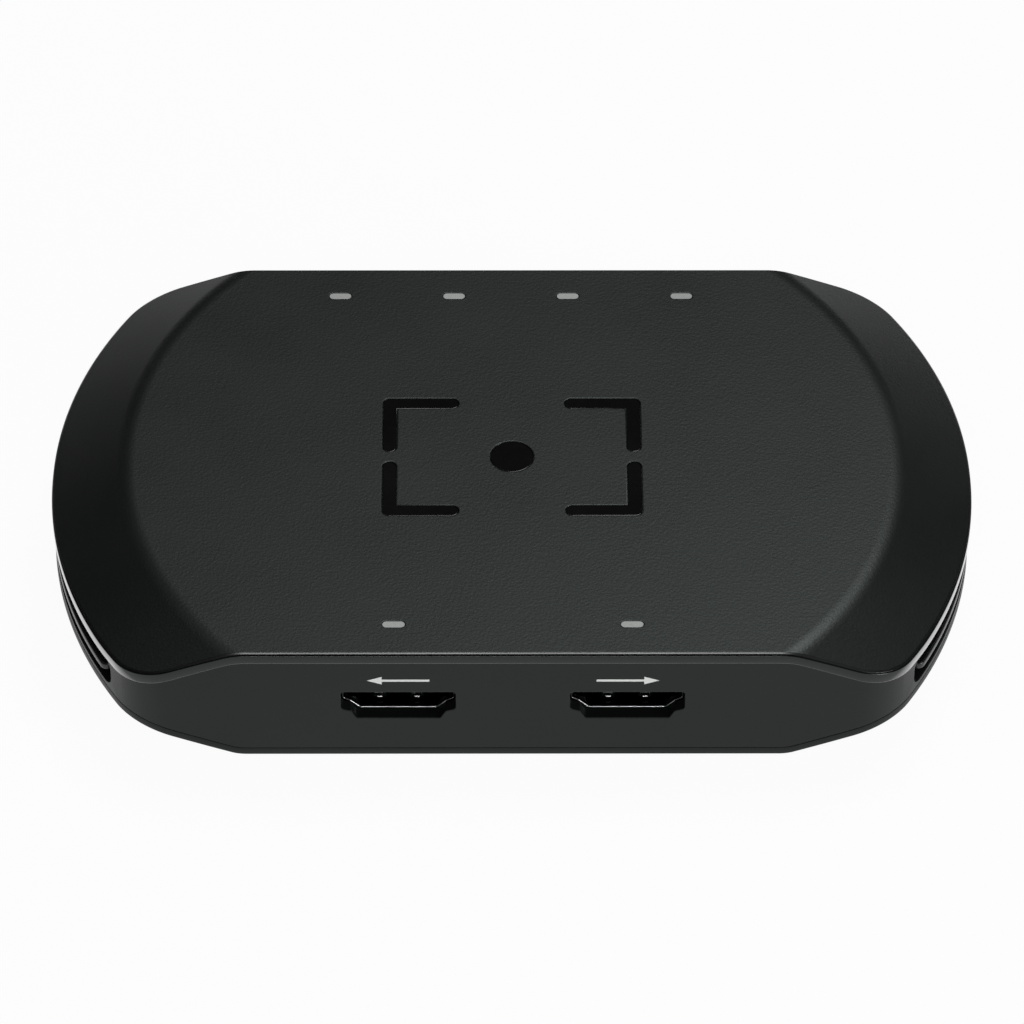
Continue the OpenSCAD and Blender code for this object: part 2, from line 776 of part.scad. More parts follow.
// Cover of the underside: floor, wings, locating rib, screw bosses and board posts
module bottom_cover() color(base_black) {
    rib_inset = wall + rib_gap;
    difference() {
        union() {
            intersection() {
                plan_prism(band_step);
                under_layer(0, floor_t);
            }
            intersection() {
                plan_ring(rib_inset, rib_inset + rib_t);
                under_layer(floor_t / 2, floor_t + rib_h);
            }
            for (p = foot_spots)
                translate([p.x, p.y, base_z + foot_recess])
                    cylinder(d = lower_boss_d, h = boss_z - base_z - foot_recess);
            for (p = board_posts)
                translate([p.x, p.y, floor_z - floor_t / 2])
                    cylinder(d = board_post_d, h = board_bottom - floor_z + floor_t / 2);
        }
        for (p = foot_spots)
            translate([p.x, p.y, 0]) {
                cylinder(d = foot_d + 2 * foot_gap, h = recess_z);
                cylinder(d = screw_head_d + 4 * screw_gap, h = seat_z);
                cylinder(d = boss_hole_d, h = boss_z + over);
            }
        for (p = board_posts)
            translate([p.x, p.y, board_bottom - board_screw_grip - pilot_relief])
                cylinder(d = board_screw_d + 2 * seat_gap, h = board_screw_grip + pilot_relief + over);
    }
}

// Gloss inlay of the sign, seated on the floor of its pocket
module sign_inlay() color(gloss_black) {
    translate([0, 0, top_z - sign_pocket])
        linear_extrude(height = sign_t)
            sign_shapes(sign_line - 2 * seat_gap);
}

// Moulded guide: a post over each light, an arm to each window and a bar that joins the arms
module light_guide(xs, light_y, win_y) {
    toward = sign(win_y - light_y);
    arm_l = abs(win_y - light_y) + guide_post / 2 + window_h / 2;
    span = max(xs) - min(xs) + guide_w;
    difference() {
        union() {
            for (x = xs) {
                translate([x, win_y, guide_bottom])
                    linear_extrude(height = top_z - seat_gap - guide_bottom)
                        stadium(window_w - 2 * window_gap, window_h - 2 * window_gap);
                arm_y = toward > 0 ? light_y - guide_post / 2 : light_y + guide_post / 2 - arm_l;
                block(x, arm_y, guide_bottom, guide_w, arm_l, guide_h);
                post_z = board_top + light_h + light_gap;
                post_h = guide_bottom + eps - post_z;
                block(x, light_y - guide_post / 2, post_z, guide_post, guide_post, post_h);
            }
            block(0, light_y - guide_w / 2, guide_bottom, span, guide_w, guide_h);
        }
        for (s = [-1, 1])
            translate([s * peg_x, light_y, guide_bottom - over])
                cylinder(d = peg_d + 2 * window_gap, h = guide_h + 2 * over);
    }
}

module front_light_guide() color(clear_grey) light_guide(front_windows, front_light_y, -window_y);
module rear_light_guide() color(clear_grey) light_guide(rear_windows, rear_light_y, window_y);

// Rubber feet in the recesses of the bottom cover
module rubber_feet() color(rubber_black) {
    for (p = foot_spots)
        translate([p.x, p.y, 0])
            cylinder(d = foot_d, h = recess_z);
}

// Screws that clamp both covers on the frame, heads above the feet
module case_screws() color(dark_steel) {
    for (p = foot_spots)
        translate([p.x, p.y, seat_z - screw_head_h]) {
            cylinder(d = screw_head_d, h = screw_head_h);
            cylinder(d = screw_d, h = screw_head_h + insert_z - seat_z + screw_grip);
        }
}

// Brass inserts in the bosses of the top cover
module threaded_inserts() color(brass) {
    for (p = foot_spots)
        translate([p.x, p.y, insert_z])
            difference() {
                cylinder(d = insert_d, h = insert_l);
                translate([0, 0, -over])
                    cylinder(d = screw_d + 2 * seat_gap, h = insert_l + 2 * over);
            }
}

// Circuit board with its holes
module main_board() color(board_green) {
    difference() {
        translate([0, 0, board_bottom])
            linear_extrude(height = board_t)
                round_rect(board_w, board_d, board_corner);
        for (p = foot_spots)
            translate([p.x, p.y, board_bottom - over])
                cylinder(d = boss_d + 2 * board_hole_gap, h = board_t + 2 * over);
        for (p = board_posts)
            translate([p.x, p.y, board_bottom - over])
                cylinder(d = board_screw_d + 2 * screw_gap, h = board_t + 2 * over);
        for (x = ports, s = [-1, 1], y = leg_spots)
            block(x + s * (open_w + sheet) / 2, mouth_y + y - leg_l / 2 - board_hole_gap, board_bottom - over,
                sheet + 2 * board_hole_gap, leg_l + 2 * board_hole_gap, board_t + 2 * over);
    }
}

// Screws that hold the board on its posts
module board_screws() color(steel) {
    for (p = board_posts)
        translate([p.x, p.y, board_top]) {
            cylinder(d = board_head_d, h = board_head_h);
            translate([0, 0, -board_t - board_screw_grip])
                cylinder(d = board_screw_d, h = board_t + board_screw_grip + eps);
        }
}

// Middle lines of the two retaining springs of a video socket
spring_xs = [-spring_pitch / 2, spring_pitch / 2];
spring_end = spring_setback + spring_l;
spring_z = -open_h / 2 - sheet / 2;

// Folded shell of a video socket, with legs through the board and windows for its springs
module video_shell() {
    difference() {
        inward(video_depth)
            video_outline(sheet, sheet);
        translate([0, -over, 0])
            inward(video_depth + 2 * over)
                video_outline();
        for (x = spring_xs)
            block(x, spring_setback - spring_gap, -video_h / 2 - over,
                spring_w + 2 * spring_gap, spring_l + 2 * spring_gap, sheet + 1.5 * over);
    }
    for (s = [-1, 1], y = leg_spots)
        block(s * (open_w + sheet) / 2, y - leg_l / 2, -board_drop - board_t - leg_tip,
            sheet, leg_l, board_drop + board_t + leg_tip + open_h / 4);
}

// Contacts of a video socket: upper row and lower row, set half a pitch apart
module video_contacts(grow = 0) {
    back = video_depth + block_foot_t;
    upper = tongue_rise + tongue_t / 2 - contact_t / 2;
    lower = tongue_rise - tongue_t / 2 - contact_t / 2;
    for (i = [0:video_upper - 1])
        contact((i - (video_upper - 1) / 2) * video_pitch, video_contact_w,
            tongue_setback + contact_setback, back + upper_tail, upper, -board_drop, grow);
    for (i = [0:video_lower - 1])
        contact((i - (video_lower - 1) / 2) * video_pitch, video_contact_w,
            tongue_setback + contact_setback, back + lower_tail, lower, -board_drop, grow);
}

// Moulded tongue of a video socket with the block that closes the shell
module video_tongue() {
    difference() {
        union() {
            translate([0, video_depth - block_t, 0])
                inward(block_t)
                    video_outline(-2 * seat_gap, -seat_gap);
            block(0, tongue_setback, tongue_rise - tongue_t / 2, tongue_w,
                video_depth - tongue_setback, tongue_t);
            block(0, video_depth - eps, -board_drop, open_w - 2 * open_shoulder, block_foot_t + eps,
                board_drop + open_h / 2 - seat_gap);
        }
        video_contacts(contact_gap);
    }
}

// Leaf springs in the floor of a video socket, hinged at their inner ends
module video_springs() {
    for (x = spring_xs)
        translate([x, spring_end, spring_z])
            rotate([-spring_angle, 0, 0]) {
                block(0, -spring_l, -spring_t / 2, spring_w, spring_l, spring_t);
                translate([-spring_w / 2, -spring_l + bead_setback, spring_t / 2])
                    rotate([0, 90, 0])
                        cylinder(r = bead_r, h = spring_w);
            }
}

module video_out_shell() color(dark_steel) at_port(-port_x) video_shell();
module video_out_tongue() color(chip_black) at_port(-port_x) video_tongue();
module video_out_contacts() color(gold) at_port(-port_x) video_contacts();
module video_out_springs() color(steel) at_port(-port_x) video_springs();
module video_in_shell() color(dark_steel) at_port(port_x) video_shell();
module video_in_tongue() color(chip_black) at_port(port_x) video_tongue();
module video_in_contacts() color(gold) at_port(port_x) video_contacts();
module video_in_springs() color(steel) at_port(port_x) video_springs();

// Moulded body of a jack with its plug hole and the window for its spring
module jack_body() {
    window_l = jack_spring_l + 2 * spring_gap;
    difference() {
        block(0, jack_front, -board_drop, jack_w, jack_body_l, board_drop + jack_rise);
        translate([0, jack_front - over, 0])
            rotate([-90, 0, 0])
                cylinder(d = jack_hole, h = jack_depth - jack_front + over);
        translate([0, jack_spring_y - spring_gap, -jack_spring_h / 2 - spring_gap])
            cube([jack_w, window_l, jack_spring_h + 2 * spring_gap]);
    }
}

// Metal collar of a jack in the rear panel
module jack_collar() {
    translate([0, collar_setback, 0])
        rotate([-90, 0, 0])
            difference() {
                cylinder(d = collar_d, h = jack_front - collar_setback);
                translate([0, 0, -over])
                    cylinder(d = jack_bore, h = jack_front + 2 * over);
            }
}

// Contact spring of a jack, hinged at its outer end and leaning into the plug hole
module jack_spring() {
    translate([jack_spring_x, jack_spring_y, -jack_spring_h / 2])
        rotate([0, 0, jack_spring_angle])
            translate([-spring_t / 2, 0, 0])
                cube([spring_t, jack_spring_l, jack_spring_h]);
}

module jack_left_body() color(chip_black) at_rear(jacks[0], port_z) jack_body();
module jack_centre_body() color(chip_black) at_rear(jacks[1], port_z) jack_body();
module jack_right_body() color(chip_black) at_rear(jacks[2], port_z) jack_body();
module jack_left_collar() color(steel) at_rear(jacks[0], port_z) jack_collar();
module jack_centre_collar() color(steel) at_rear(jacks[1], port_z) jack_collar();
module jack_right_collar() color(steel) at_rear(jacks[2], port_z) jack_collar();
module jack_left_spring() color(bronze) at_rear(jacks[0], port_z) jack_spring();
module jack_centre_spring() color(bronze) at_rear(jacks[1], port_z) jack_spring();
module jack_right_spring() color(bronze) at_rear(jacks[2], port_z) jack_spring();

// Solder tabs beside the jacks
module jack_terminals() color(steel) {
    for (x = jacks)
        at_rear(x, board_top)
            for (s = [-1, 1], y = [jack_front + tab_inset, jack_front + jack_body_l - tab_inset])
                block(s * (jack_w + tab_w) / 2, y - tab_l / 2, 0, tab_w, tab_l, contact_t);
}

// Drawn shell of the data socket
module data_shell() color(steel) {
    at_rear(data_x, data_z)
        translate([0, data_setback, 0])
            difference() {
                inward(data_depth)
                    stadium(data_w, data_h);
                translate([0, -over, 0])
                    inward(data_depth + 2 * over)
                        stadium(data_w - 2 * sheet, data_h - 2 * sheet);
            }
}

// Contacts of the data socket, above and below its tongue
module data_strips(grow = 0) {
    back = data_depth + block_foot_t;
    for (i = [0:data_count - 1], s = [-1, 1])
        contact((i - (data_count - 1) / 2) * data_pitch, data_contact_w,
            data_tongue_setback + contact_setback, back + (s > 0 ? upper_tail : lower_tail),
            s * data_tongue_t / 2 - contact_t / 2, -data_h / 2, grow);
}

module data_contacts() color(gold) {
    at_rear(data_x, data_z)
        translate([0, data_setback, 0])
            data_strips();
}

// Tongue of the data socket with the block that closes its shell
module data_tongue() color(chip_black) {
    at_rear(data_x, data_z)
        translate([0, data_setback, 0])
            difference() {
                union() {
                    translate([0, data_depth - block_t, 0])
                        inward(block_t)
                            stadium(data_w - 2 * sheet - 2 * seat_gap, data_h - 2 * sheet - 2 * seat_gap);
                    block(0, data_tongue_setback, -data_tongue_t / 2,
                        data_tongue_w, data_depth - data_tongue_setback, data_tongue_t);
                    block(0, data_depth - eps, -data_h / 2,
                        data_tongue_w, block_foot_t + eps, data_h - sheet);
                }
                data_strips(contact_gap);
            }
}

// Status lights on the board under the light guides
module lights(xs, y) {
    for (x = xs)
        block(x, y - light_d / 2, board_top, light_w, light_d, light_h);
}

module front_lights() color("white") lights(front_windows, front_light_y);
module rear_lights() color("white") lights(rear_windows, rear_light_y);

// Square chip on the board
module chip(x, y, size) {
    block(x, y - size.y / 2, board_top, size.x, size.y, size.z);
}

module video_processor() color(chip_black) chip(0, 0, [chip_w, chip_w, chip_h]);
module memory_chips() color(chip_black) for (p = memory_spots) chip(p.x, p.y, memory_chip);
module video_receiver() color(chip_black) chip(port_x, small_chip_row, small_chip);
module video_driver() color(chip_black) chip(-port_x, small_chip_row, small_chip);
module data_bridge() color(chip_black) chip(data_x, rear_chip_row, small_chip);
module audio_chip() color(chip_black) chip(jacks[1], rear_chip_row, small_chip);
module power_inductors() color(coil_grey) for (p = coil_spots) chip(p.x, p.y, coil);
module crystals() color(steel) for (p = crystal_spots) chip(p.x, p.y, crystal);

// Pad between the processor and the heat sink
module thermal_pad() color(pad_blue) {
    block(0, -chip_w / 2, board_top + chip_h, chip_w, chip_w, pad_t);
}

// Finned heat sink on the processor
module heat_sink() color(aluminium) {
    fin_h = ceiling_z - fin_gap - sink_bottom;
    block(0, -sink_d / 2, sink_bottom, sink_w, sink_d, sink_base);
    for (i = [0:fin_count - 1])
        block(0, -sink_d / 2 + i * (sink_d - fin_t) / (fin_count - 1), sink_bottom, sink_w, fin_t, fin_h);
}

// Upright electrolytic capacitors
module can_capacitors() color(aluminium) {
    for (p = can_spots)
        translate([p.x, p.y, board_top])
            cylinder(d = can_d, h = can_h);
}

// Row of ceramic capacitors on both sides of the processor
module chip_capacitors() color(ceramic_tan) {
    for (s = [-1, 1], i = [0:cap_count - 1])
        chip(s * cap_x, (i - (cap_count - 1) / 2) * cap_pitch, cap);
}

top_cover();
mid_frame();
bottom_cover();
sign_inlay();
front_light_guide();
rear_light_guide();
rubber_feet();
case_screws();
threaded_inserts();
main_board();
board_screws();
video_out_shell();
video_out_tongue();
video_out_contacts();
video_out_springs();
video_in_shell();
video_in_tongue();
video_in_contacts();
video_in_springs();
jack_left_body();
jack_centre_body();
jack_right_body();
jack_left_collar();
jack_centre_collar();
jack_right_collar();
jack_left_spring();
jack_centre_spring();
jack_right_spring();
jack_terminals();
data_shell();
data_tongue();
data_contacts();
front_lights();
rear_lights();
video_processor();
thermal_pad();
heat_sink();
memory_chips();
video_receiver();
video_driver();
data_bridge();
audio_chip();
power_inductors();
can_capacitors();
chip_capacitors();
crystals();
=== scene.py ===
import math

import bmesh
import bpy
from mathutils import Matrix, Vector
from mathutils.geometry import delaunay_2d_cdt


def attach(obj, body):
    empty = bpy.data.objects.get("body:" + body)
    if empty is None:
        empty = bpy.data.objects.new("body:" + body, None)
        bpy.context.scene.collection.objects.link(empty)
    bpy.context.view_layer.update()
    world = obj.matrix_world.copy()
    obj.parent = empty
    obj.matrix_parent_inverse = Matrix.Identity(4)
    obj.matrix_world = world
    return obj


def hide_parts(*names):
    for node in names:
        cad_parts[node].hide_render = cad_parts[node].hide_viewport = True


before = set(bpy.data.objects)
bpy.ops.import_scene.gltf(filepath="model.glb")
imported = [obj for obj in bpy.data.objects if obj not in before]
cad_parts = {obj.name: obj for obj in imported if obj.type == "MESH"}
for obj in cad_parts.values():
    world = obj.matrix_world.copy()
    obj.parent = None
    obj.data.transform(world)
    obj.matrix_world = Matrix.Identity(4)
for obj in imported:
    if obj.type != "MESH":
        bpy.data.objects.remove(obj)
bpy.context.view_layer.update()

MM = 0.001

# Camera: a long lens in front of the box and above it, at the photograph's viewing angle.
# It is tipped a little further down than the middle of the top, which sets the box in the frame, and it
# stands a hair to the left and leans, as a camera held by hand does.
camera_aim_z = 20.8
camera_reach = 1036.4
camera_elevation = 44.502
camera_tip = 0.421
camera_turn = -0.451
camera_pan = -0.004
camera_roll = 0.288
camera = bpy.data.objects.new("camera", bpy.data.cameras.new("camera"))
bpy.context.collection.objects.link(camera)
camera.data.sensor_width = 36
camera.data.lens = 266.0
camera_out = camera_reach * math.cos(math.radians(camera_elevation))
camera.location = Vector((
    camera_out * math.sin(math.radians(camera_turn)),
    -camera_out * math.cos(math.radians(camera_turn)),
    camera_aim_z + camera_reach * math.sin(math.radians(camera_elevation)),
)) * MM
camera.rotation_euler = (
    math.radians(90 - camera_elevation - camera_tip), 0, math.radians(camera_turn + camera_pan))
camera.rotation_euler.rotate_axis("Z", math.radians(camera_roll))
bpy.context.scene.camera = camera
bpy.context.scene.view_settings.view_transform = "Standard"


# Studio: a white table in a dim room. A soft lamp hangs behind the box, a little to the right, and a long
# dim one above it. Two small ones, at the lens and low on the right, catch the edges and light the print.
# The table looks white to the lens and in reflections, and still takes the shadow of the box.
def join(tree, start, out, end, into):
    tree.links.new(start.outputs[out], end.inputs[into])


room = bpy.data.worlds.new("room")
bpy.context.scene.world = room
room.use_nodes = True
room.node_tree.nodes["Background"].inputs["Color"].default_value = (0.034, 0.034, 0.034, 1)


def soft_lamp(name, place, aim, size, power):
    lamp = bpy.data.lights.new(name, "AREA")
    lamp.color = (0.985, 1.0, 0.99)
    lamp.shape = "RECTANGLE"
    lamp.size, lamp.size_y = size
    lamp.energy = power
    holder = bpy.data.objects.new(name, lamp)
    holder.location = place
    holder.rotation_euler = (Vector(aim) - Vector(place)).to_track_quat("-Z", "Y").to_euler()
    holder.visible_camera = False
    bpy.context.collection.objects.link(holder)


soft_lamp("overhead_lamp", (0.175, 0.34, 0.86), (0, 0, 0), (0.43, 0.35), 3.05)
soft_lamp("strip_lamp", (0.0, 0.20, 0.80), (0, 0, 0), (1.30, 0.20), 0.55)
soft_lamp("lens_lamp", (0.0, -0.82, 0.80), (0, 0, 0), (0.30, 0.30), 4.0)
soft_lamp("side_lamp", (1.00, -0.62, 0.27), (0, 0, 0), (0.30, 0.30), 5.5)

table_mesh = bpy.data.meshes.new("table")
table_half = 7.0
table_mesh.from_pydata(
    [(-table_half, -table_half, 0), (table_half, -table_half, 0),
     (table_half, table_half, 0), (-table_half, table_half, 0)], [], [(0, 1, 2, 3)])
table = bpy.data.objects.new("table", table_mesh)
bpy.context.collection.objects.link(table)
table_paint = bpy.data.materials.new("table paint")
table_paint.use_nodes = True
table_tree = table_paint.node_tree
table_shader = table_tree.nodes["Principled BSDF"]
table_shader.inputs["Base Color"].default_value = (0.88, 0.88, 0.88, 1)
table_shader.inputs["Roughness"].default_value = 0.8
table_shader.inputs["Specular IOR Level"].default_value = 0.1
table_white = table_tree.nodes.new("ShaderNodeEmission")
table_white.inputs["Strength"].default_value = 1.0
table_blend = table_tree.nodes.new("ShaderNodeMixShader")
seen = table_tree.nodes.new("ShaderNodeLightPath")
seen_or_mirrored = table_tree.nodes.new("ShaderNodeMath")
seen_or_mirrored.operation = "MAXIMUM"
seen_at_all = table_tree.nodes.new("ShaderNodeMath")
seen_at_all.operation = "MAXIMUM"
white_share = table_tree.nodes.new("ShaderNodeMath")
white_share.operation = "MULTIPLY"
white_share.inputs[1].default_value = 0.95
join(table_tree, seen, "Is Camera Ray", seen_or_mirrored, 0)
join(table_tree, seen, "Is Glossy Ray", seen_or_mirrored, 1)
join(table_tree, seen_or_mirrored, "Value", seen_at_all, 0)
join(table_tree, seen, "Is Transmission Ray", seen_at_all, 1)
join(table_tree, seen_at_all, "Value", white_share, 0)
join(table_tree, white_share, "Value", table_blend, "Fac")
join(table_tree, table_shader, "BSDF", table_blend, 1)
join(table_tree, table_white, "Emission", table_blend, 2)
join(table_tree, table_blend, "Shader", table_tree.nodes["Material Output"], "Surface")
table_mesh.materials.append(table_paint)


# Bottom cover: a moulded tray of dark satin plastic whose ends sweep up in wings.
# Its edge shows as a thin band under the seam, and four round recesses in it take the feet.
SIDE_R, HALF_D, CORNER_R = 63.2, 37.6, 9.2
CORNER_Y = HALF_D - CORNER_R
CORNER_X = math.sqrt((SIDE_R - CORNER_R) ** 2 - CORNER_Y ** 2)
CORNER_A = math.atan2(CORNER_Y, CORNER_X)
BASE_Z, FLOOR_T, BAND_STEP = 1.0, 1.23, 0.25
RIDGE_R, RIDGE_SLOPE, RIDGE_BLEND = 53.0, math.radians(27), 5.0
UNDER_R, UNDER_SLOPE, UNDER_BLEND = 52.6, math.radians(28), 3.0
BLEND_STEPS, RIDGE_STEPS = 6, 28
LINE_STEPS, CORNER_STEPS, SIDE_STEPS, STATION_GAP = 36, 20, 52, 0.3


def drop(r, ridge, slope, blend):
    """Fall of a winged face at a radius: flat, then a rounded ridge, then a straight slope."""
    start = ridge - blend * math.tan(slope / 2)
    if r <= start:
        return 0.0
    if r < start + blend * math.sin(slope):
        return blend - math.sqrt(blend ** 2 - (r - start) ** 2)
    return (r - ridge) * math.tan(slope)


def under(x, y):
    return BASE_Z + drop(math.hypot(x, y), UNDER_R, UNDER_SLOPE, UNDER_BLEND)


def ridge_radii(ridge, slope, blend, margin):
    """Circles that a mesh of a winged face needs around its ridge."""
    start = ridge - blend * math.tan(slope / 2)
    turn = [start + blend * math.sin(slope * i / BLEND_STEPS) for i in range(BLEND_STEPS + 1)]
    return [start - margin] + turn + [turn[-1] + margin]


TOP_FILL, UNDER_FILL = 0.42, 0.5
top_radii = ridge_radii(RIDGE_R, RIDGE_SLOPE, RIDGE_BLEND, margin=0.2)
under_radii = ridge_radii(UNDER_R, UNDER_SLOPE, UNDER_BLEND, margin=0.03)
turn_a = math.pi / 2 - CORNER_A
plan_runs = [
    ("line", (-CORNER_X, -HALF_D), 1, 2 * CORNER_X),
    ("arc", (CORNER_X, -CORNER_Y), CORNER_R, -math.pi / 2, turn_a),
    ("arc", (0, 0), SIDE_R, -CORNER_A, 2 * CORNER_A),
    ("arc", (CORNER_X, CORNER_Y), CORNER_R, CORNER_A, turn_a),
    ("line", (CORNER_X, HALF_D), -1, 2 * CORNER_X),
    ("arc", (-CORNER_X, CORNER_Y), CORNER_R, math.pi / 2, turn_a),
    ("arc", (0, 0), SIDE_R, math.pi - CORNER_A, 2 * CORNER_A),
    ("arc", (-CORNER_X, -CORNER_Y), CORNER_R, math.pi + CORNER_A, turn_a),
]


def run_length(run):
    return run[3] if run[0] == "line" else run[2] * run[4]


PLAN_L = sum(run_length(run) for run in plan_runs)


def plan_at(s):
    """Point on the outline and its outward direction, at a distance along the outline."""
    s = s % PLAN_L
    for run in plan_runs:
        length = run_length(run)
        if s <= length + 1e-9:
            break
        s -= length
    if run[0] == "line":
        return (run[1][0] + run[2] * s, run[1][1]), (0.0, -float(run[2]))
    angle = run[3] + s / run[2]
    out = (math.cos(angle), math.sin(angle))
    return (run[1][0] + run[2] * out[0], run[1][1] + run[2] * out[1]), out


def plan_stations():
    """Distances along the outline at which every ring of the housing has a point."""
    crossings = []
    for radii, inset in ((top_radii, TOP_FILL), (under_radii, UNDER_FILL)):
        crossings += [math.sqrt(r ** 2 - (HALF_D - inset) ** 2) for r in radii]
    fixed = [sign * x for x in crossings for sign in (-1, 1)]
    plain = [-CORNER_X + 2 * CORNER_X * i / LINE_STEPS for i in range(LINE_STEPS)]
    xs = sorted(fixed + [x for x in plain if min(abs(x - f) for f in fixed) > STATION_GAP])
    stations, start = [], 0.0
    for run in plan_runs:
        if run[0] == "line":
            steps = [x + CORNER_X for x in xs]
            if run[2] < 0:
                steps = sorted(2 * CORNER_X - step for step in steps)
                last = 2 * CORNER_X - STATION_GAP
                steps = [0.0] + [step for step in steps if STATION_GAP < step < last]
        else:
            count = CORNER_STEPS if run[2] == CORNER_R else SIDE_STEPS
            steps = [run_length(run) * i / count for i in range(count)]
        stations += [start + step for step in steps]
        start += run_length(run)
    return stations


stations = plan_stations()
plan_points = [plan_at(s) for s in stations]


def ring(inset, height):
    """Closed ring that follows the outline at an inset, at a height given as a function."""
    points = []
    for (x, y), (nx, ny) in plan_points:
        px, py = x - nx * inset, y - ny * inset
        points.append((px, py, height(px, py)))
    return points


def quarter(radius, steps=4):
    """Steps round a rounded edge: distance in from the side and drop from the top."""
    for i in range(steps + 1):
        a = math.pi / 2 * i / steps
        yield radius * (1 - math.cos(a)), radius * (1 - math.sin(a))


def ribbon(bm, rings, closed=True, paint=0):
    """Faces between rings that have the same number of points, in one of the piece's materials."""
    rows = [[bm.verts.new(Vector(p) * MM) for p in points] for points in rings]
    for low, high in zip(rows, rows[1:]):
        count = len(low)
        for i in range(count if closed else count - 1):
            j = (i + 1) % count
            bm.faces.new((low[i], low[j], high[j], high[i])).material_index = paint


def within(x, y, loop):
    """Whether a point lies inside a closed line."""
    hit = False
    for (ax, ay), (bx, by) in zip(loop, loop[1:] + loop[:1]):
        if (ay > y) != (by > y) and x < ax + (y - ay) * (bx - ax) / (by - ay):
            hit = not hit
    return hit


def fill(bm, place, outer, holes=(), guides=()):
    """Faces inside a flat outline and outside its holes, with edges along the guide lines."""
    points, edges = [], []
    for loop in [outer, *holes]:
        first = len(points)
        points += [Vector(p[:2]) for p in loop]
        edges += [(first + i, first + (i + 1) % len(loop)) for i in range(len(loop))]
    for line in guides:
        first = len(points)
        points += [Vector(p) for p in line]
        edges += [(first + i, first + i + 1) for i in range(len(line) - 1)]
    flat, _, faces, _, _, _ = delaunay_2d_cdt(points, edges, [], 0, 1e-7)
    outer = [tuple(p[:2]) for p in outer]
    holes = [[tuple(p[:2]) for p in hole] for hole in holes]
    verts = [bm.verts.new(Vector(place(p.x, p.y)) * MM) for p in flat]
    for face in faces:
        x = sum(flat[i].x for i in face) / 3
        y = sum(flat[i].y for i in face) / 3
        if within(x, y, outer) and not any(within(x, y, hole) for hole in holes):
            bm.faces.new([verts[i] for i in face])
    bmesh.ops.delete(bm, geom=[v for v in verts if not v.link_faces], context="VERTS")


def ridge_lines(radii, inset):
    """Ridge circles of a winged face, cut off at its front and rear edges."""
    lines = []
    for r in radii:
        reach = math.asin((HALF_D - inset) / r)
        for middle in (0, math.pi):
            angles = [middle + reach * (i / RIDGE_STEPS - 1) for i in range(2 * RIDGE_STEPS + 1)]
            lines.append([(r * math.cos(a), r * math.sin(a)) for a in angles])
    return lines


def circle(x, y, r, count=48):
    angles = [2 * math.pi * i / count for i in range(count)]
    return [(x + r * math.cos(a), y + r * math.sin(a)) for a in angles]


def tube(bm, x, y, inner, outer, low, high, count=40):
    """Upright tube, or a round peg where the inner radius is 0."""
    rings = [[(*p, z) for p in circle(x, y, r, count)]
             for r, z in ((outer, low), (outer, high), (max(inner, 0.01), high), (max(inner, 0.01), low))]
    ribbon(bm, rings + rings[:1])


def finish_piece(name, bm, materials, body, sharp=38, weld=1.5e-6):
    """Welds a mesh, turns its faces outwards, softens its shading and puts it on a body."""
    bmesh.ops.remove_doubles(bm, verts=bm.verts, dist=weld)
    bmesh.ops.recalc_face_normals(bm, faces=bm.faces)
    limit = math.radians(sharp)
    for face in bm.faces:
        face.smooth = True
    for edge in bm.edges:
        edge.smooth = edge.is_manifold and edge.calc_face_angle() < limit
    mesh = bpy.data.meshes.new(name)
    bm.to_mesh(mesh)
    bm.free()
    for material in materials:
        mesh.materials.append(material)
    piece = bpy.data.objects.new(name, mesh)
    bpy.context.collection.objects.link(piece)
    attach(piece, body)
    return piece


def new_group(name, inputs, outputs):
    """Empty shader group with its named sockets."""
    group = bpy.data.node_groups.new(name, "ShaderNodeTree")
    for label, kind, value in inputs:
        socket = group.interface.new_socket(name=label, in_out="INPUT", socket_type="NodeSocket" + kind)
        socket.default_value = value
    for label, kind in outputs:
        group.interface.new_socket(name=label, in_out="OUTPUT", socket_type="NodeSocket" + kind)
    return group, group.nodes.new("NodeGroupInput"), group.nodes.new("NodeGroupOutput")


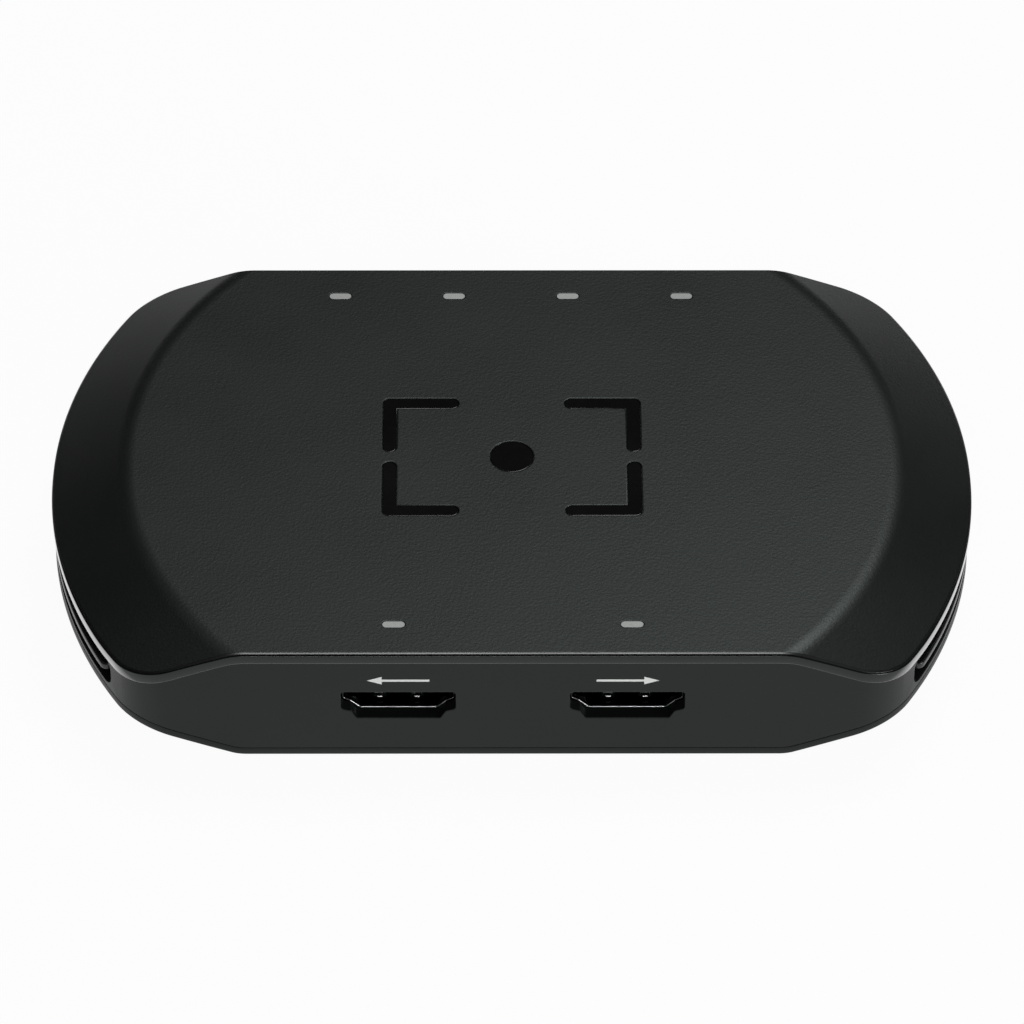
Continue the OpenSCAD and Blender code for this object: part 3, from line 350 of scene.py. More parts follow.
def grain_group():
    """Sparked-mould grain: fine pits for the bump, and a slow drift of tone and gloss."""
    group, given, put = new_group(
        "moulded grain",
        [("Grain", "Float", 2600.0), ("Drift", "Float", 60.0), ("Dark", "Color", (0, 0, 0, 1)),
         ("Light", "Color", (1, 1, 1, 1)), ("Gloss Low", "Float", 0.4), ("Gloss High", "Float", 0.5)],
        [("Colour", "Color"), ("Roughness", "Float"), ("Height", "Float")])
    nodes = group.nodes
    place = nodes.new("ShaderNodeTexCoord")
    fine = nodes.new("ShaderNodeTexNoise")
    fine.inputs["Detail"].default_value = 3
    fine.inputs["Roughness"].default_value = 0.55
    cells = nodes.new("ShaderNodeTexVoronoi")
    cells.feature = "SMOOTH_F1"
    cells.inputs["Smoothness"].default_value = 0.6
    slow = nodes.new("ShaderNodeTexNoise")
    slow.inputs["Detail"].default_value = 4
    pits = nodes.new("ShaderNodeMath")
    pits.operation = "MULTIPLY_ADD"
    pits.inputs[1].default_value = 0.6
    tone = nodes.new("ShaderNodeMath")
    tone.operation = "MULTIPLY_ADD"
    tone.inputs[1].default_value = 0.55
    spread = nodes.new("ShaderNodeMapRange")
    spread.inputs["From Min"].default_value = 0.42
    spread.inputs["From Max"].default_value = 1.05
    mix = nodes.new("ShaderNodeMix")
    mix.data_type = "RGBA"
    gloss = nodes.new("ShaderNodeMapRange")
    gloss.inputs["From Min"].default_value = 0.3
    gloss.inputs["From Max"].default_value = 0.7
    join(group, place, "Object", fine, "Vector")
    join(group, place, "Object", cells, "Vector")
    join(group, place, "Object", slow, "Vector")
    join(group, given, "Grain", fine, "Scale")
    join(group, given, "Grain", cells, "Scale")
    join(group, given, "Drift", slow, "Scale")
    join(group, cells, "Distance", pits, 0)
    join(group, fine, "Fac", pits, 2)
    join(group, slow, "Fac", tone, 0)
    join(group, fine, "Fac", tone, 2)
    join(group, tone, "Value", spread, "Value")
    join(group, spread, "Result", mix, "Factor")
    join(group, given, "Dark", mix, "A")
    join(group, given, "Light", mix, "B")
    join(group, slow, "Fac", gloss, "Value")
    join(group, given, "Gloss Low", gloss, "To Min")
    join(group, given, "Gloss High", gloss, "To Max")
    join(group, mix, "Result", put, "Colour")
    join(group, gloss, "Result", put, "Roughness")
    join(group, pits, "Value", put, "Height")
    return group


moulded_grain = grain_group()


def grained(name, dark, light, gloss, grain, bump, drift=60.0, **shader):
    """Material with the moulded grain; other values go straight to the shader's sockets."""
    material = bpy.data.materials.new(name)
    material.use_nodes = True
    tree = material.node_tree
    surface = tree.nodes["Principled BSDF"]
    finish = tree.nodes.new("ShaderNodeGroup")
    finish.node_tree = moulded_grain
    finish.inputs["Grain"].default_value = grain
    finish.inputs["Drift"].default_value = drift
    finish.inputs["Dark"].default_value = (*dark, 1)
    finish.inputs["Light"].default_value = (*light, 1)
    finish.inputs["Gloss Low"].default_value, finish.inputs["Gloss High"].default_value = gloss
    pits = tree.nodes.new("ShaderNodeBump")
    pits.inputs["Strength"].default_value = bump[0]
    pits.inputs["Distance"].default_value = bump[1] * MM
    join(tree, finish, "Colour", surface, "Base Color")
    join(tree, finish, "Roughness", surface, "Roughness")
    join(tree, finish, "Height", pits, "Height")
    join(tree, pits, "Normal", surface, "Normal")
    for socket, value in shader.items():
        surface.inputs[socket.replace("_", " ")].default_value = value
    return material


HOUSING_DARK, HOUSING_LIGHT = (0.0036, 0.0040, 0.0039), (0.0060, 0.0064, 0.0063)
HOUSING_TINT = (0.90, 1.0, 0.96, 1)
FINE_GRAIN = 4200
base_plastic = grained("base plastic", HOUSING_DARK, HOUSING_LIGHT, (0.42, 0.50), FINE_GRAIN,
                       (0.12, 0.05), Specular_IOR_Level=0.27, Specular_Tint=HOUSING_TINT)
polished_plastic = grained("polished plastic", HOUSING_DARK, HOUSING_LIGHT, (0.18, 0.24), FINE_GRAIN,
                           (0.04, 0.03), Specular_IOR_Level=0.37, Specular_Tint=HOUSING_TINT,
                           Coat_IOR=4.0, Coat_Roughness=0.06)
polished_tree = polished_plastic.node_tree
graze = polished_tree.nodes.new("ShaderNodeLayerWeight")
graze.inputs["Blend"].default_value = 0.5
polish = polished_tree.nodes.new("ShaderNodeMapRange")
polish.inputs["From Min"].default_value = 0.48
polish.inputs["From Max"].default_value = 0.72
join(polished_tree, graze, "Facing", polish, "Value")
join(polished_tree, polish, "Result", polished_tree.nodes["Principled BSDF"], "Coat Weight")
foot_spots = [(sx * 39.334, sy * 25.543) for sx in (-1, 1) for sy in (-1, 1)]
recess_r, recess_d, recess_edge = 4.7, 0.5, 0.06
head_r, head_d, screw_r = 2.5, 1.95, 1.4
boss_r, boss_top = 3.7, 5.775
post_spots = [(sx * 40.9, sy * 13.0) for sx in (-1, 1) for sy in (-1, 1)]
post_bore, post_r, post_top, post_sunk = 1.05, 2.5, 6.075, 0.2
SEAM_EDGE, SEAM_FLAT, tray_edge = 0.06, 0.3, 0.16
tray = bmesh.new()
outside = [ring(BAND_STEP + SEAM_FLAT, lambda x, y: under(x, y) + FLOOR_T)]
for side, fall in reversed(list(quarter(SEAM_EDGE))):
    outside.append(ring(BAND_STEP + side, lambda x, y, f=fall: under(x, y) + FLOOR_T - f))
low_edge = [ring(BAND_STEP + side, lambda x, y, f=rise: under(x, y) + f)
            for side, rise in quarter(tray_edge)]
ribbon(tray, outside + low_edge[:1])
ribbon(tray, low_edge, paint=1)
under_ring = ring(UNDER_FILL, under)
ribbon(tray, [low_edge[-1], under_ring])
recesses = [circle(x, y, recess_r + recess_edge) for x, y in foot_spots]
fill(tray, lambda x, y: (x, y, under(x, y)), under_ring, recesses,
     ridge_lines(under_radii, UNDER_FILL))
fill(tray, lambda x, y: (x, y, under(x, y) + FLOOR_T), outside[0], (),
     [line[1:-1] for line in ridge_lines(under_radii[1:-1], BAND_STEP + SEAM_FLAT + 0.05)])
for x, y in foot_spots:
    steps = [(recess_r + recess_edge, 0), (recess_r + 0.02, 0.02), (recess_r, recess_edge),
             (recess_r, recess_d), (head_r, recess_d), (head_r, head_d), (screw_r, head_d),
             (screw_r, head_d + 0.15)]
    ribbon(tray, [[(*p, BASE_Z + h) for p in circle(x, y, r)] for r, h in steps])
    tube(tray, x, y, screw_r, boss_r, BASE_Z + head_d + 0.05, boss_top, 48)
for x, y in post_spots:
    tube(tray, x, y, post_bore, post_r, BASE_Z + FLOOR_T - post_sunk, post_top)
bottom_cover = finish_piece("bottom_cover_tray", tray, [base_plastic, polished_plastic],
                            "box")
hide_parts("bottom_cover")


# Feet: four round pads of soft black rubber with a rounded edge, pressed into the recesses.
# Each hides the head of a case screw.
def cap(bm, points):
    """One flat face that closes the end of a ribbon."""
    bm.faces.new([bm.verts.new(Vector(p) * MM) for p in points])


foot_rubber = grained("foot rubber", (0.010, 0.010, 0.010), (0.020, 0.020, 0.020),
                      (0.75, 0.85), 3000, (0.3, 0.05), Specular_IOR_Level=0.3)
foot_r, foot_top, foot_edge, foot_bevel, foot_flat = 4.5, 1.5, 0.45, 0.1, 2.0
pads = bmesh.new()
for x, y in foot_spots:
    profile = [(foot_r - foot_bevel, foot_top), (foot_r, foot_top - foot_bevel)]
    profile += [(foot_r - side, fall) for side, fall in quarter(foot_edge)] + [(foot_flat, 0.0)]
    rings = [[(*p, z) for p in circle(x, y, r)] for r, z in profile]
    ribbon(pads, rings)
    cap(pads, rings[0])
    cap(pads, rings[-1])
feet = finish_piece("feet", pads, [foot_rubber], "box")
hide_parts("rubber_feet")


# Screws and inserts: black plated screws clamp both covers on the frame and turn into knurled
# brass inserts. Bright screws hold the board on its posts.
def metal(name, dark, light, gloss, grain=900.0, bump=(0.1, 0.01)):
    return grained(name, dark, light, gloss, grain, bump, Metallic=1.0)


def dress(material, *nodes):
    for node in nodes:
        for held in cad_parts[node].material_slots:
            held.material = material


dress(metal("black plate", (0.03, 0.03, 0.032), (0.06, 0.06, 0.062), (0.35, 0.5)), "case_screws")
dress(metal("insert brass", (0.55, 0.40, 0.16), (0.66, 0.50, 0.22), (0.25, 0.4)), "threaded_inserts")
bright_plate = metal("bright plate", (0.50, 0.51, 0.53), (0.62, 0.63, 0.65), (0.2, 0.32))
dress(bright_plate, "board_screws")


# Circuit board: glass laminate under green solder mask, screwed to the posts of the tray.
# Black moulded chips, a finned sink on its pad, coils, cans and ceramic chips are soldered to it.
dress(grained("solder mask", (0.003, 0.014, 0.007), (0.006, 0.024, 0.012), (0.3, 0.4), 900,
              (0.2, 0.03), 300.0), "main_board")
chip_epoxy = grained("chip epoxy", (0.010, 0.010, 0.011), (0.018, 0.018, 0.019), (0.45, 0.6),
                     5000, (0.25, 0.02))
dress(chip_epoxy, "video_processor", "memory_chips", "video_receiver", "video_driver",
      "data_bridge", "audio_chip")
dress(grained("pad silicone", (0.20, 0.32, 0.46), (0.26, 0.40, 0.55), (0.6, 0.7), 2000,
              (0.2, 0.03)), "thermal_pad")
dress(metal("bare aluminium", (0.55, 0.56, 0.58), (0.66, 0.67, 0.69), (0.3, 0.45)),
      "heat_sink", "can_capacitors")
dress(grained("ferrite", (0.05, 0.05, 0.053), (0.08, 0.08, 0.084), (0.55, 0.7), 3000,
              (0.3, 0.03)), "power_inductors")
dress(grained("ceramic", (0.32, 0.23, 0.14), (0.42, 0.31, 0.20), (0.35, 0.5), 3000,
              (0.15, 0.02)), "chip_capacitors")
dress(bright_plate, "crystals", "jack_terminals")
dress(grained("lamp package", (0.62, 0.62, 0.55), (0.75, 0.75, 0.70), (0.3, 0.4), 3000,
              (0.1, 0.01)), "front_lights", "rear_lights")


# Front video sockets: folded shells of black plated steel, soldered through the board.
# Each holds a black tongue with gilt contacts, and two leaf springs in its floor with turned-up tips.
def rounded(corners, radius, grow, steps=5):
    """Outline with rounded corners, moved outwards by a distance; corners run anticlockwise."""
    count, loop = len(corners), []
    for i, (x, y) in enumerate(corners):
        ax, ay = corners[i - 1]
        bx, by = corners[(i + 1) % count]
        a = math.atan2(y - ay, x - ax) - math.pi / 2
        b = math.atan2(by - y, bx - x) - math.pi / 2
        bend = (b - a + math.pi) % (2 * math.pi) - math.pi
        side = math.copysign(1, bend)
        reach = side * radius / math.cos(bend / 2)
        cx, cy = x - reach * math.cos(a + bend / 2), y - reach * math.sin(a + bend / 2)
        size = side * radius + grow
        for k in range(steps + 1):
            t = a + bend * k / steps
            loop.append((cx + size * math.cos(t), cy + size * math.sin(t)))
    return loop


shell_black = metal("shell black", (0.012, 0.012, 0.013), (0.022, 0.022, 0.024), (0.18, 0.28))
dress(shell_black, "video_out_shell", "video_in_shell")
dress(chip_epoxy, "video_out_tongue", "video_in_tongue", "data_tongue")
dress(metal("gilt contact", (0.62, 0.44, 0.15), (0.74, 0.55, 0.22), (0.2, 0.3)),
      "video_out_contacts", "video_in_contacts", "data_contacts")
dress(bright_plate, "video_out_springs", "video_in_springs")
MOUTH_Y, PORT_Z, PORT_X = -35.25, 10.5, 15.4
opening = [(-4.95, -2.275), (4.95, -2.275), (6.0, -0.375), (7.05, -0.125), (7.05, 2.275),
           (-7.05, 2.275), (-7.05, -0.125), (-6.0, -0.375)]
flange = [(-5.15, -2.25), (5.15, -2.25), (6.45, -0.95), (7.4, -0.45), (7.4, 2.275),
          (-7.4, 2.275), (-7.4, -0.45), (-6.45, -0.95)]
cut_edge = metal("cut steel edge", (0.24, 0.24, 0.245), (0.33, 0.33, 0.335), (0.16, 0.24))
lip_corner, lip_half, lip_proud, lip_seat, lip_step = 0.3, 0.12, 0.08, 0.02, 0.03


def lip(x, shape, grow, y):
    """Line round a socket's mouth, moved outwards from a shape."""
    return [(x + px, y, PORT_Z + pz) for px, pz in rounded(shape, lip_corner, grow)]


rolled = bmesh.new()
for x in (-PORT_X, PORT_X):
    inner_seat = lip(x, opening, 0, MOUTH_Y + lip_seat)
    outer_seat = lip(x, flange, 2 * lip_half, MOUTH_Y + lip_seat)
    round_edge = [lip(x, flange, lip_half - lip_half * math.cos(a),
                      MOUTH_Y - lip_step - lip_proud * math.sin(a))
                  for a in (math.pi * k / 6 for k in range(7))]
    ribbon(rolled, [inner_seat, lip(x, opening, lip_step, MOUTH_Y - lip_seat), round_edge[0]], paint=1)
    ribbon(rolled, round_edge)
    ribbon(rolled, [round_edge[-1], outer_seat, inner_seat], paint=1)
finish_piece("socket_lips", rolled, [cut_edge, shell_black], "box")

tip_line = [(-32.75, 8.48, 0.62), (-33.0, 8.52, 0.6), (-33.18, 8.61, 0.57), (-33.4, 8.67, 0.52),
            (-33.65, 8.71, 0.46), (-33.88, 8.735, 0.42)]
tip_half, leaf_out = 0.05, 2.5
bead_line = [(0, 0.02), (0.03, 0.09), (0.1, 0.15)]
for socket, x in (("video_out", -PORT_X), ("video_in", PORT_X)):
    tips = bmesh.new()
    for leaf_x in (x - leaf_out, x + leaf_out):
        rows = [[(leaf_x - half, y, z - tip_half), (leaf_x + half, y, z - tip_half),
                 (leaf_x + half, y, z + tip_half), (leaf_x - half, y, z + tip_half)]
                for y, z, half in tip_line]
        ribbon(tips, rows)
        cap(tips, rows[0])
        cap(tips, rows[-1])
        y, z, half = tip_line[-1]
        turned = [(side - half, size) for side, size in bead_line]
        turned += [(half - side, size) for side, size in reversed(bead_line)]
        bead = [[(leaf_x + side, y + size * math.cos(a), z + size * math.sin(a))
                 for a in (math.pi * k / 8 for k in range(16))] for side, size in turned]
        ribbon(tips, bead)
        cap(tips, bead[0])
        cap(tips, bead[-1])
    finish_piece(socket + "_spring_tips", tips, [cut_edge], socket + "_springs")


# Rear sockets: three jacks with black bodies, turned bright collars and bronze springs, and one drawn
# steel data socket, all soldered to the rear edge of the board.
dress(chip_epoxy, "jack_left_body", "jack_centre_body", "jack_right_body")
dress(bright_plate, "data_shell")
dress(metal("spring bronze", (0.45, 0.30, 0.16), (0.56, 0.39, 0.22), (0.25, 0.4)),
      "jack_left_spring", "jack_centre_spring", "jack_right_spring")
REAR_PITCH = 15.9
collar_back, collar_face, collar_bore, collar_r = 35.25, 37.3, 1.8, 3.0
collar_edge, collar_mouth = 0.3, [(0, 0.35), (0.04, 0.29), (0.29, 0.04), (0.35, 0)]
collar_line = [(collar_bore, collar_back)]
collar_line += [(collar_bore + out, collar_face - fall) for out, fall in collar_mouth]
collar_line += [(collar_r - side, collar_face - fall)
                for side, fall in reversed(list(quarter(collar_edge)))]
collar_line += [(collar_r, collar_back)]
for jack, place in (("left", -1.5), ("centre", -0.5), ("right", 0.5)):
    turned = bmesh.new()
    rings = [[(px, y, pz) for px, pz in circle(place * REAR_PITCH, PORT_Z, r)] for r, y in collar_line]
    ribbon(turned, rings + rings[:1])
    collar = finish_piece("jack_" + jack + "_ring", turned, [bright_plate], "box")
    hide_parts("jack_" + jack + "_collar")


# Light guides: milky moulded plastic that carries the light of the status lamps up to the windows.
# The guides hang on pegs of the top cover, and their tips fill the windows.
guide_plastic = grained("guide plastic", (0.39, 0.395, 0.39), (0.47, 0.475, 0.47), (0.3, 0.4),
                        2500, (0.1, 0.02))
dress(guide_plastic, "front_light_guide", "rear_light_guide")


# Middle frame: the walls of the box in dark satin plastic, clamped between the two covers.
# A polished upright band runs round its top. Below it are the cut-outs for the sockets, and at each end an
# air slot with a bar whose ends turn inwards, on three posts.
TOP_Z, WALL, COVER_T, SEAM, SEAM_RISE = 20.8, 2.0, 1.2, 0.09, 0.1
LIP_W, LIP_DEPTH, LIP_GAP, BAND_LOW = 0.85, 0.45, 0.05, 2.0
SIDE_LEAN, SIDE_FADE, SIDE_SAG = 33, 6, 0.25
CORNER_LEAN, CORNER_FADE, CORNER_LIFT = 38, 9, 0.18
COVER_GRAIN = 2600
frame_plastic = grained("frame plastic", HOUSING_DARK, HOUSING_LIGHT, (0.38, 0.46), FINE_GRAIN,
                        (0.12, 0.05), Specular_IOR_Level=0.27, Specular_Tint=HOUSING_TINT)
edge_plastic = grained("edge plastic", HOUSING_DARK, HOUSING_LIGHT, (0.26, 0.32), COVER_GRAIN,
                       (0.06, 0.05), Specular_IOR_Level=0.5)


def top(x, y):
    return TOP_Z - drop(math.hypot(x, y), RIDGE_R, RIDGE_SLOPE, RIDGE_BLEND)


def wall_point(s, z, depth):
    (x, y), (nx, ny) = plan_at(s)
    return (x - nx * depth, y - ny * depth, z)


def ease(t):
    t = min(1.0, max(0.0, t))
    return t * t * (3 - 2 * t)


def lean(x, y):
    return math.degrees(math.atan2(abs(y), abs(x)))


def side_sag(x, y):
    return SIDE_SAG * ease((SIDE_LEAN - lean(x, y)) / SIDE_FADE)


def under_band(x, y):
    """Height of the band's lower edge, which hangs a little lower along the sides."""
    return top(x, y) - BAND_LOW - side_sag(x, y)


def over_band(x, y):
    """Height of the frame's lip, a little higher in the corners and lower along the sides."""
    lift = CORNER_LIFT * ease(1 - abs(lean(x, y) - CORNER_LEAN) / CORNER_FADE)
    return top(x, y) - LIP_DEPTH + lift - side_sag(x, y)


def wall_top(s):
    return under_band(*wall_point(s, 0, BAND_STEP)[:2])


def wall_bottom(s):
    x, y, _ = wall_point(s, 0, BAND_STEP)
    return under(x, y) + FLOOR_T + SEAM + SEAM_RISE


SIDE_START = sum(run_length(run) for run in plan_runs[:2])
REAR_START = sum(run_length(run) for run in plan_runs[:4])
LEFT_START = sum(run_length(run) for run in plan_runs[:6])
front_x, rear_x = CORNER_X, REAR_START + CORNER_X
cutout_corner, jack_r = 0.5, 3.2
data_w, data_h, data_z = 9.54, 3.86, 9.305
cutout = [(-5.65, -2.38), (5.65, -2.38), (6.4, -1.0), (7.72, -0.59), (7.72, 2.6),
          (-7.72, 2.6), (-7.72, -0.59), (-6.4, -1.0)]


def port_hole(x):
    return lambda grow: rounded([(front_x + x + px, PORT_Z + pz) for px, pz in cutout],
                                cutout_corner, grow)


def jack_hole(x):
    return lambda grow: circle(rear_x - x, PORT_Z, jack_r + grow)


def data_hole(x):
    w, h, middle = data_w / 2, data_h / 2, rear_x - x
    box = [(middle - w, data_z - h), (middle + w, data_z - h), (middle + w, data_z + h),
           (middle - w, data_z + h)]
    return lambda grow: rounded(box, h - 0.02, grow, 10)


VENT_LOW, VENT_HIGH, VENT_END, VENT_MARGIN = 8.486, 13.35, 1.8, 1.3
side_l = SIDE_R * 2 * CORNER_A


def vent_hole(start):
    """Slot along one side, with a point at every station of the outline."""
    low, high = start + VENT_MARGIN, start + side_l - VENT_MARGIN

    def loop(grow):
        along = [s for s in stations if low + VENT_END + 0.1 < s < high - VENT_END - 0.1]
        size = VENT_END + grow
        near, far = low + VENT_END, high - VENT_END
        floor, ceiling = VENT_LOW + VENT_END, VENT_HIGH - VENT_END

        def corner(cx, cz, first):
            turns = [math.radians(first + 15 * k) for k in range(7)]
            return [(cx + size * math.cos(a), cz + size * math.sin(a)) for a in turns]

        points = [(s, VENT_LOW - grow) for s in along]
        points += corner(far, floor, -90) + corner(far, ceiling, 0)
        points += [(s, VENT_HIGH + grow) for s in reversed(along)]
        return points + corner(near, ceiling, 90) + corner(near, floor, 180)
    return loop


panel_holes = [port_hole(-PORT_X), port_hole(PORT_X)]
panel_holes += [jack_hole(x * REAR_PITCH) for x in (-1.5, -0.5, 0.5)]
panel_holes += [data_hole(1.5 * REAR_PITCH)]
vents = [vent_hole(SIDE_START), vent_hole(LEFT_START)]
walls = bmesh.new()
wall_line = [(s, wall_bottom(s)) for s in stations]
wall_line += [(PLAN_L, wall_bottom(0)), (PLAN_L, wall_top(0))]
wall_line += [(s, wall_top(s)) for s in reversed(stations)]
panel_edge, panel_flat, vent_edge, vent_flat = 0.12, 0.3, 0.05, 0.07
hole_edges = [(hole, panel_edge, panel_flat) for hole in panel_holes]
hole_edges += [(hole, vent_edge, vent_flat) for hole in vents]
fill(walls, lambda s, z: wall_point(s, z, BAND_STEP), wall_line,
     [hole(flat) for hole, _, flat in hole_edges])
fill(walls, lambda s, z: wall_point(s, z, WALL), wall_line, [hole(0) for hole, _, _ in hole_edges])
for hole, edge, flat in hole_edges:
    steps = [(flat, 0)] + [(fall, side) for side, fall in quarter(edge)] + [(0, WALL - BAND_STEP)]
    ribbon(walls, [[wall_point(s, z, BAND_STEP + depth) for s, z in hole(grow)] for grow, depth in steps])


def under_top(inset, depth):
    return ring(inset, lambda x, y: top(x, y) - depth)


def under_lip(inset, depth):
    return ring(inset, lambda x, y: over_band(x, y) - depth)


lip_edge, band_edge = 0.08, 0.22
band_rings = [under_lip(side, fall) for side, fall in reversed(list(quarter(lip_edge)))]
band_rings += [ring(side, lambda x, y, f=rise: under_band(x, y) + f) for side, rise in quarter(band_edge)]
ribbon(walls, band_rings, paint=1)
ribbon(walls, [band_rings[-1], ring(BAND_STEP, under_band)])
ribbon(walls, [[wall_point(s, wall_top(s), WALL) for s in stations], under_top(WALL, COVER_T + LIP_GAP),
               under_top(LIP_W, COVER_T + LIP_GAP), under_lip(LIP_W, LIP_GAP),
               under_lip(LIP_W - LIP_GAP, 0), band_rings[0]])
foot_rings = [[wall_point(s, wall_bottom(s), WALL) for s in stations],
              ring(WALL, lambda x, y: under(x, y) + FLOOR_T + SEAM),
              ring(BAND_STEP + SEAM_FLAT, lambda x, y: under(x, y) + FLOOR_T + SEAM)]
for side, fall in reversed(list(quarter(SEAM_EDGE))):
    foot_rings.append(ring(BAND_STEP + side, lambda x, y, f=fall: under(x, y) + FLOOR_T + SEAM + f))
foot_rings.append([wall_point(s, wall_bottom(s), BAND_STEP) for s in stations])
ribbon(walls, foot_rings)

bar_low, bar_high, bar_back, bar_round = 9.8, 10.9, 0.2, 0.3
bar_short, bar_turn, bar_steps = 1.9, 1.2, 80
slot_post_half, slot_post_front, slot_post_back = 0.5, 1.15, WALL - 0.03


def turned_in(distance):
    """How far the bar's face has turned inwards at a distance from its end."""
    return bar_turn - math.sqrt(bar_turn ** 2 - max(0.0, bar_turn - distance) ** 2)


for start in (SIDE_START, LEFT_START):
    ends = (start + VENT_MARGIN + bar_short, start + side_l - VENT_MARGIN - bar_short)
    curl = [bar_turn * (1 - math.cos(math.pi / 2 * k / 8)) for k in range(9)]
    straight = ends[1] - ends[0] - 2 * bar_turn
    lengths = [ends[0] + d for d in curl]
    lengths += [ends[0] + bar_turn + straight * i / bar_steps for i in range(1, bar_steps)]
    lengths += [ends[1] - d for d in reversed(curl)]
    section = [(bar_back + side, bar_high - fall) for side, fall in reversed(list(quarter(bar_round)))]
    section += [(bar_back + side, bar_low + rise) for side, rise in quarter(bar_round)]
    section += [(WALL - 0.02, bar_low), (WALL - 0.02, bar_high)]
    rows = [[wall_point(s, z, depth if depth > 1 else depth + turned_in(min(s - ends[0], ends[1] - s)))
             for s in lengths] for depth, z in section]
    ribbon(walls, rows + rows[:1], closed=False, paint=2)
    for i in (0, -1):
        cap(walls, [row[i] for row in rows])
    for share in (0.25, 0.5, 0.75):
        middle = ends[0] + (ends[1] - ends[0]) * share
        corners = [wall_point(middle + along, 0, depth)[:2] for along, depth in
                   ((-slot_post_half, slot_post_back), (slot_post_half, slot_post_back),
                    (slot_post_half, slot_post_front), (-slot_post_half, slot_post_front))]
        post = [[(x, y, z) for x, y in corners] for z in (VENT_LOW - 0.01, VENT_HIGH + 0.01)]
        ribbon(walls, post)
        cap(walls, post[0])
        cap(walls, post[1])
mid_frame = finish_piece("frame_walls", walls, [frame_plastic, polished_plastic, edge_plastic],
                         "box")
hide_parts("mid_frame")


# Port marks: one plain arrow over each front socket, pad printed in white ink on the front wall.
# They point to the two ends of the box.
mark_ink = grained("mark ink", (0.78, 0.79, 0.78), (0.88, 0.89, 0.88), (0.5, 0.6), 5000, (0.1, 0.01))
arrow = [(-4.2, -0.2), (2.2, -0.2), (2.2, -0.72), (4.2, 0), (2.2, 0.72), (2.2, 0.2), (-4.2, 0.2)]
arrow_z, ink_proud, ink_depth = 15.4, 0.012, 0.02
print_y = BAND_STEP - HALF_D - ink_proud
marks = bmesh.new()
for x, way in ((-PORT_X, -1), (PORT_X, 1)):
    shape = [(x + way * px, arrow_z + pz) for px, pz in arrow][::way]
    fill(marks, lambda px, pz: (px, print_y, pz), shape)
    ribbon(marks, [[(px, print_y + back, pz) for px, pz in shape] for back in (0, ink_depth)])
finish_piece("port_arrows", marks, [mark_ink], "box")


# Top cover: one moulding of dark plastic with a fine spark-eroded grain, flat in the middle and sloped at
# both ends. It is screwed down from below, and its thin edge hangs over the frame's lip with a shadow gap.
COVER_IN, EDGE_T, EDGE_IN, EDGE_THINNING = 1.05, 0.25, 0.1, 0.7
cover_plastic = grained("cover plastic", HOUSING_DARK, HOUSING_LIGHT, (0.375, 0.425), COVER_GRAIN,
                        (0.16, 0.10), Specular_IOR_Level=0.5, Specular_Tint=HOUSING_TINT)
WINDOW_Y, WINDOW_W, WINDOW_H = 32.05, 3.1, 1.2
FRONT_WINDOW_X = 16.0
SIGN_W, SIGN_D, SIGN_LINE, SIGN_LEG, SIGN_DOT = 35.5, 22.9, 2.0, 8.5, 6.0
SIGN_POCKET = 0.35


def window(x, y):
    def loop(grow):
        r, w = WINDOW_H / 2 + grow, (WINDOW_W - WINDOW_H) / 2
        right = [(x + w + r * math.cos(math.radians(a)), y + r * math.sin(math.radians(a)))
                 for a in range(-90, 91, 15)]
        left = [(x - w - r * math.cos(math.radians(a)), y - r * math.sin(math.radians(a)))
                for a in range(-90, 91, 15)]
        return right + left
    return loop


def bracket(sx, sy):
    """One corner bracket of the sign: two legs of the sign's line width with round ends."""
    cx, cy = SIGN_W / 2 - SIGN_LINE / 2, SIGN_D / 2 - SIGN_LINE / 2

    def loop(grow):
        h = SIGN_LINE / 2 + grow

        def turn(mx, my, first, sweep):
            turns = [math.radians(first + a) for a in range(0, sweep + 1, 15)]
            return [(mx + h * math.cos(a), my + h * math.sin(a)) for a in turns]

        points = turn(cx - SIGN_LEG, cy, 90, 180) + [(cx - h, cy - h)]
        points += turn(cx, cy - SIGN_LEG, 180, 180) + turn(cx, cy, 0, 90)
        points = [(sx * x, sy * y) for x, y in points]
        return points if sx * sy > 0 else points[::-1]
    return loop


def dot(grow):
    return circle(0, 0, SIGN_DOT / 2 + grow, 64)


windows = [window(x, -WINDOW_Y) for x in (-FRONT_WINDOW_X, FRONT_WINDOW_X)]
windows += [window(x * REAR_PITCH, WINDOW_Y) for x in (-1.5, -0.5, 0.5, 1.5)]
sign_shapes = [bracket(sx, sy) for sx in (-1, 1) for sy in (-1, 1)] + [dot]
cover = bmesh.new()
chamfer = [(0, 0.22), (0.012, 0.185), (0.035, 0.16), (0.16, 0.035), (0.185, 0.012), (0.22, 0)]
wing_fall = TOP_Z - top(SIDE_R, 0)


def cover_edge(inset, depth):
    """Ring of the cover's edge, which thins out where the wings fall."""
    def height(x, y):
        return top(x, y) - depth * (1 - EDGE_THINNING * (TOP_Z - top(x, y)) / wing_fall)
    return ring(inset, height)


def block(bm, low, high):
    """Box with its edges left square, for the ribs inside the housing."""
    made = bmesh.ops.create_cube(bm, size=1)["verts"]
    for v in made:
        v.co = Vector([low[i] + (high[i] - low[i]) * (v.co[i] + 0.5) for i in range(3)]) * MM


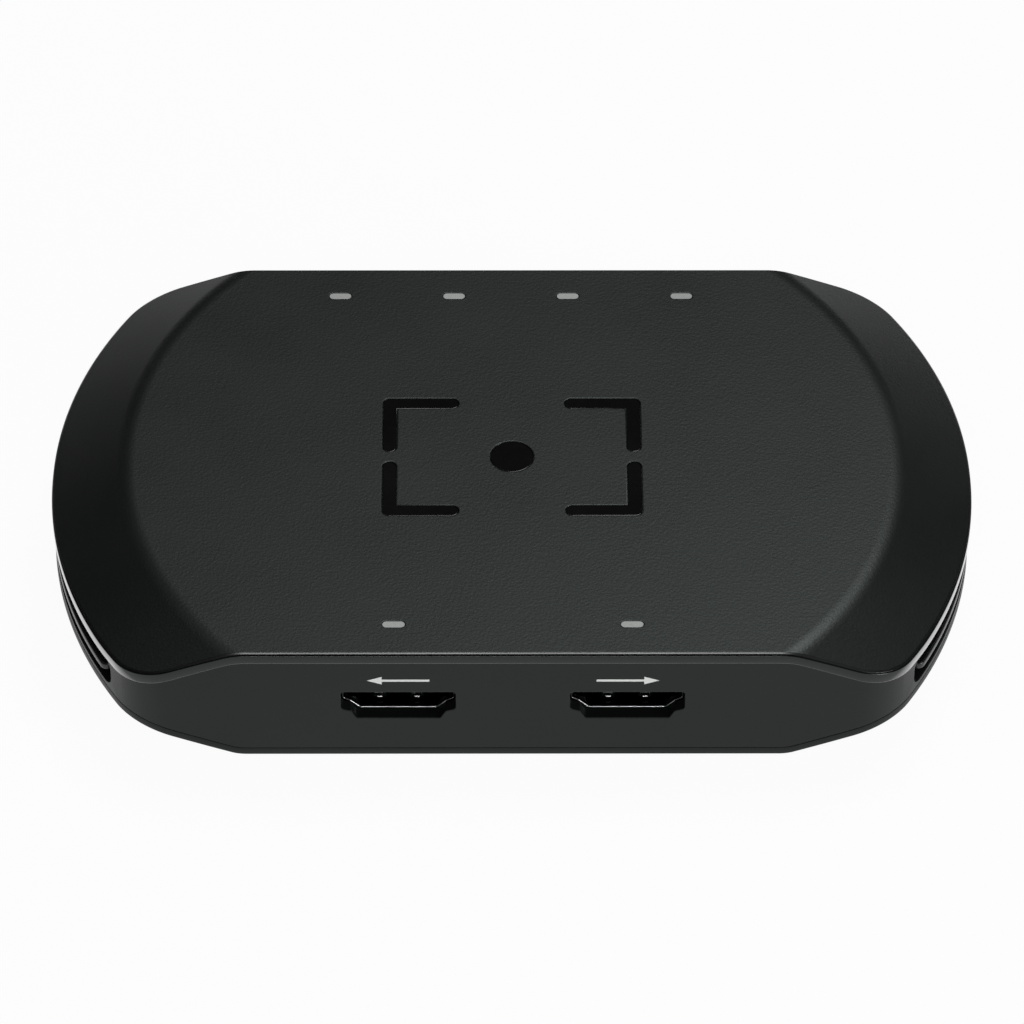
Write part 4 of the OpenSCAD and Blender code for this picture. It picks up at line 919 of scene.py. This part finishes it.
edge_rings = [cover_edge(EDGE_IN + side, fall) for side, fall in chamfer]
cover_rings = [under_top(COVER_IN, COVER_T), cover_edge(COVER_IN, EDGE_T),
               cover_edge(EDGE_IN + 0.03, EDGE_T), edge_rings[0]]
face_ring = ring(TOP_FILL, top)
ribbon(cover, cover_rings)
ribbon(cover, edge_rings, paint=1)
ribbon(cover, [edge_rings[-1], face_ring])
top_edge, top_flat = 0.1, 0.22
fill(cover, lambda x, y: (x, y, top(x, y)), face_ring,
     [hole(top_flat) for hole in windows + sign_shapes], ridge_lines(top_radii, TOP_FILL))
fill(cover, lambda x, y: (x, y, top(x, y) - COVER_T), cover_rings[0],
     [hole(0) for hole in windows],
     [line[1:-1] for line in ridge_lines(top_radii[1:-1], COVER_IN + 0.05)])
for hole in windows + sign_shapes:
    deep = COVER_T if hole in windows else SIGN_POCKET
    steps = [(top_flat, 0)] + [(fall, side) for side, fall in quarter(top_edge, 3)] + [(0, deep)]
    ribbon(cover, [[(x, y, TOP_Z - depth) for x, y in hole(grow)] for grow, depth in steps])
for hole in sign_shapes:
    fill(cover, lambda x, y: (x, y, TOP_Z - SIGN_POCKET), hole(0))
ceiling = TOP_Z - COVER_T
sleeve_bore, sleeve_r, sleeve_low = 2.15, 3.2, 5.825
rib_half, rib_h, rib_gap, rib_t, sunk = 34, 1.4, 0.15, 1.0, 0.1
for x, y in foot_spots:
    tube(cover, x, y, sleeve_bore, sleeve_r, sleeve_low, ceiling + sunk)
for sy in (-1, 1):
    rib_y = HALF_D - WALL - rib_gap
    rib = sorted((sy * rib_y, sy * (rib_y - rib_t)))
    block(cover, (-rib_half, rib[0], ceiling - rib_h), (rib_half, rib[1], ceiling + sunk))
top_cover = finish_piece("cover_shell", cover, [cover_plastic, edge_plastic], "box")
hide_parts("top_cover")


# Sign: a plain viewfinder sign of polished black plastic, four brackets and a dot.
# Its pieces are glued into shallow pockets of the top cover, a hair below the face.
sign_gloss = grained("sign gloss", (0.0025, 0.0022, 0.0024), (0.0042, 0.0038, 0.0040), (0.10, 0.16),
                     900, (0.05, 0.01), Specular_IOR_Level=0.4)
inlay = bmesh.new()
inlay_top, inlay_play, inlay_edge = TOP_Z - 0.10, 0.05, 0.08
for shape in sign_shapes:
    rings = [[(x, y, TOP_Z - SIGN_POCKET) for x, y in shape(-inlay_play)]]
    for side, fall in quarter(inlay_edge, 3):
        rings.append([(x, y, inlay_top - fall) for x, y in shape(-inlay_play - side)])
    rings.append([(x, y, inlay_top) for x, y in shape(-inlay_play - inlay_edge - 0.1)])
    ribbon(inlay, rings)
    fill(inlay, lambda x, y: (x, y, inlay_top), rings[-1])
    fill(inlay, lambda x, y: (x, y, TOP_Z - SIGN_POCKET), rings[0])
sign = finish_piece("sign_pieces", inlay, [sign_gloss], "box")
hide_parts("sign_inlay")
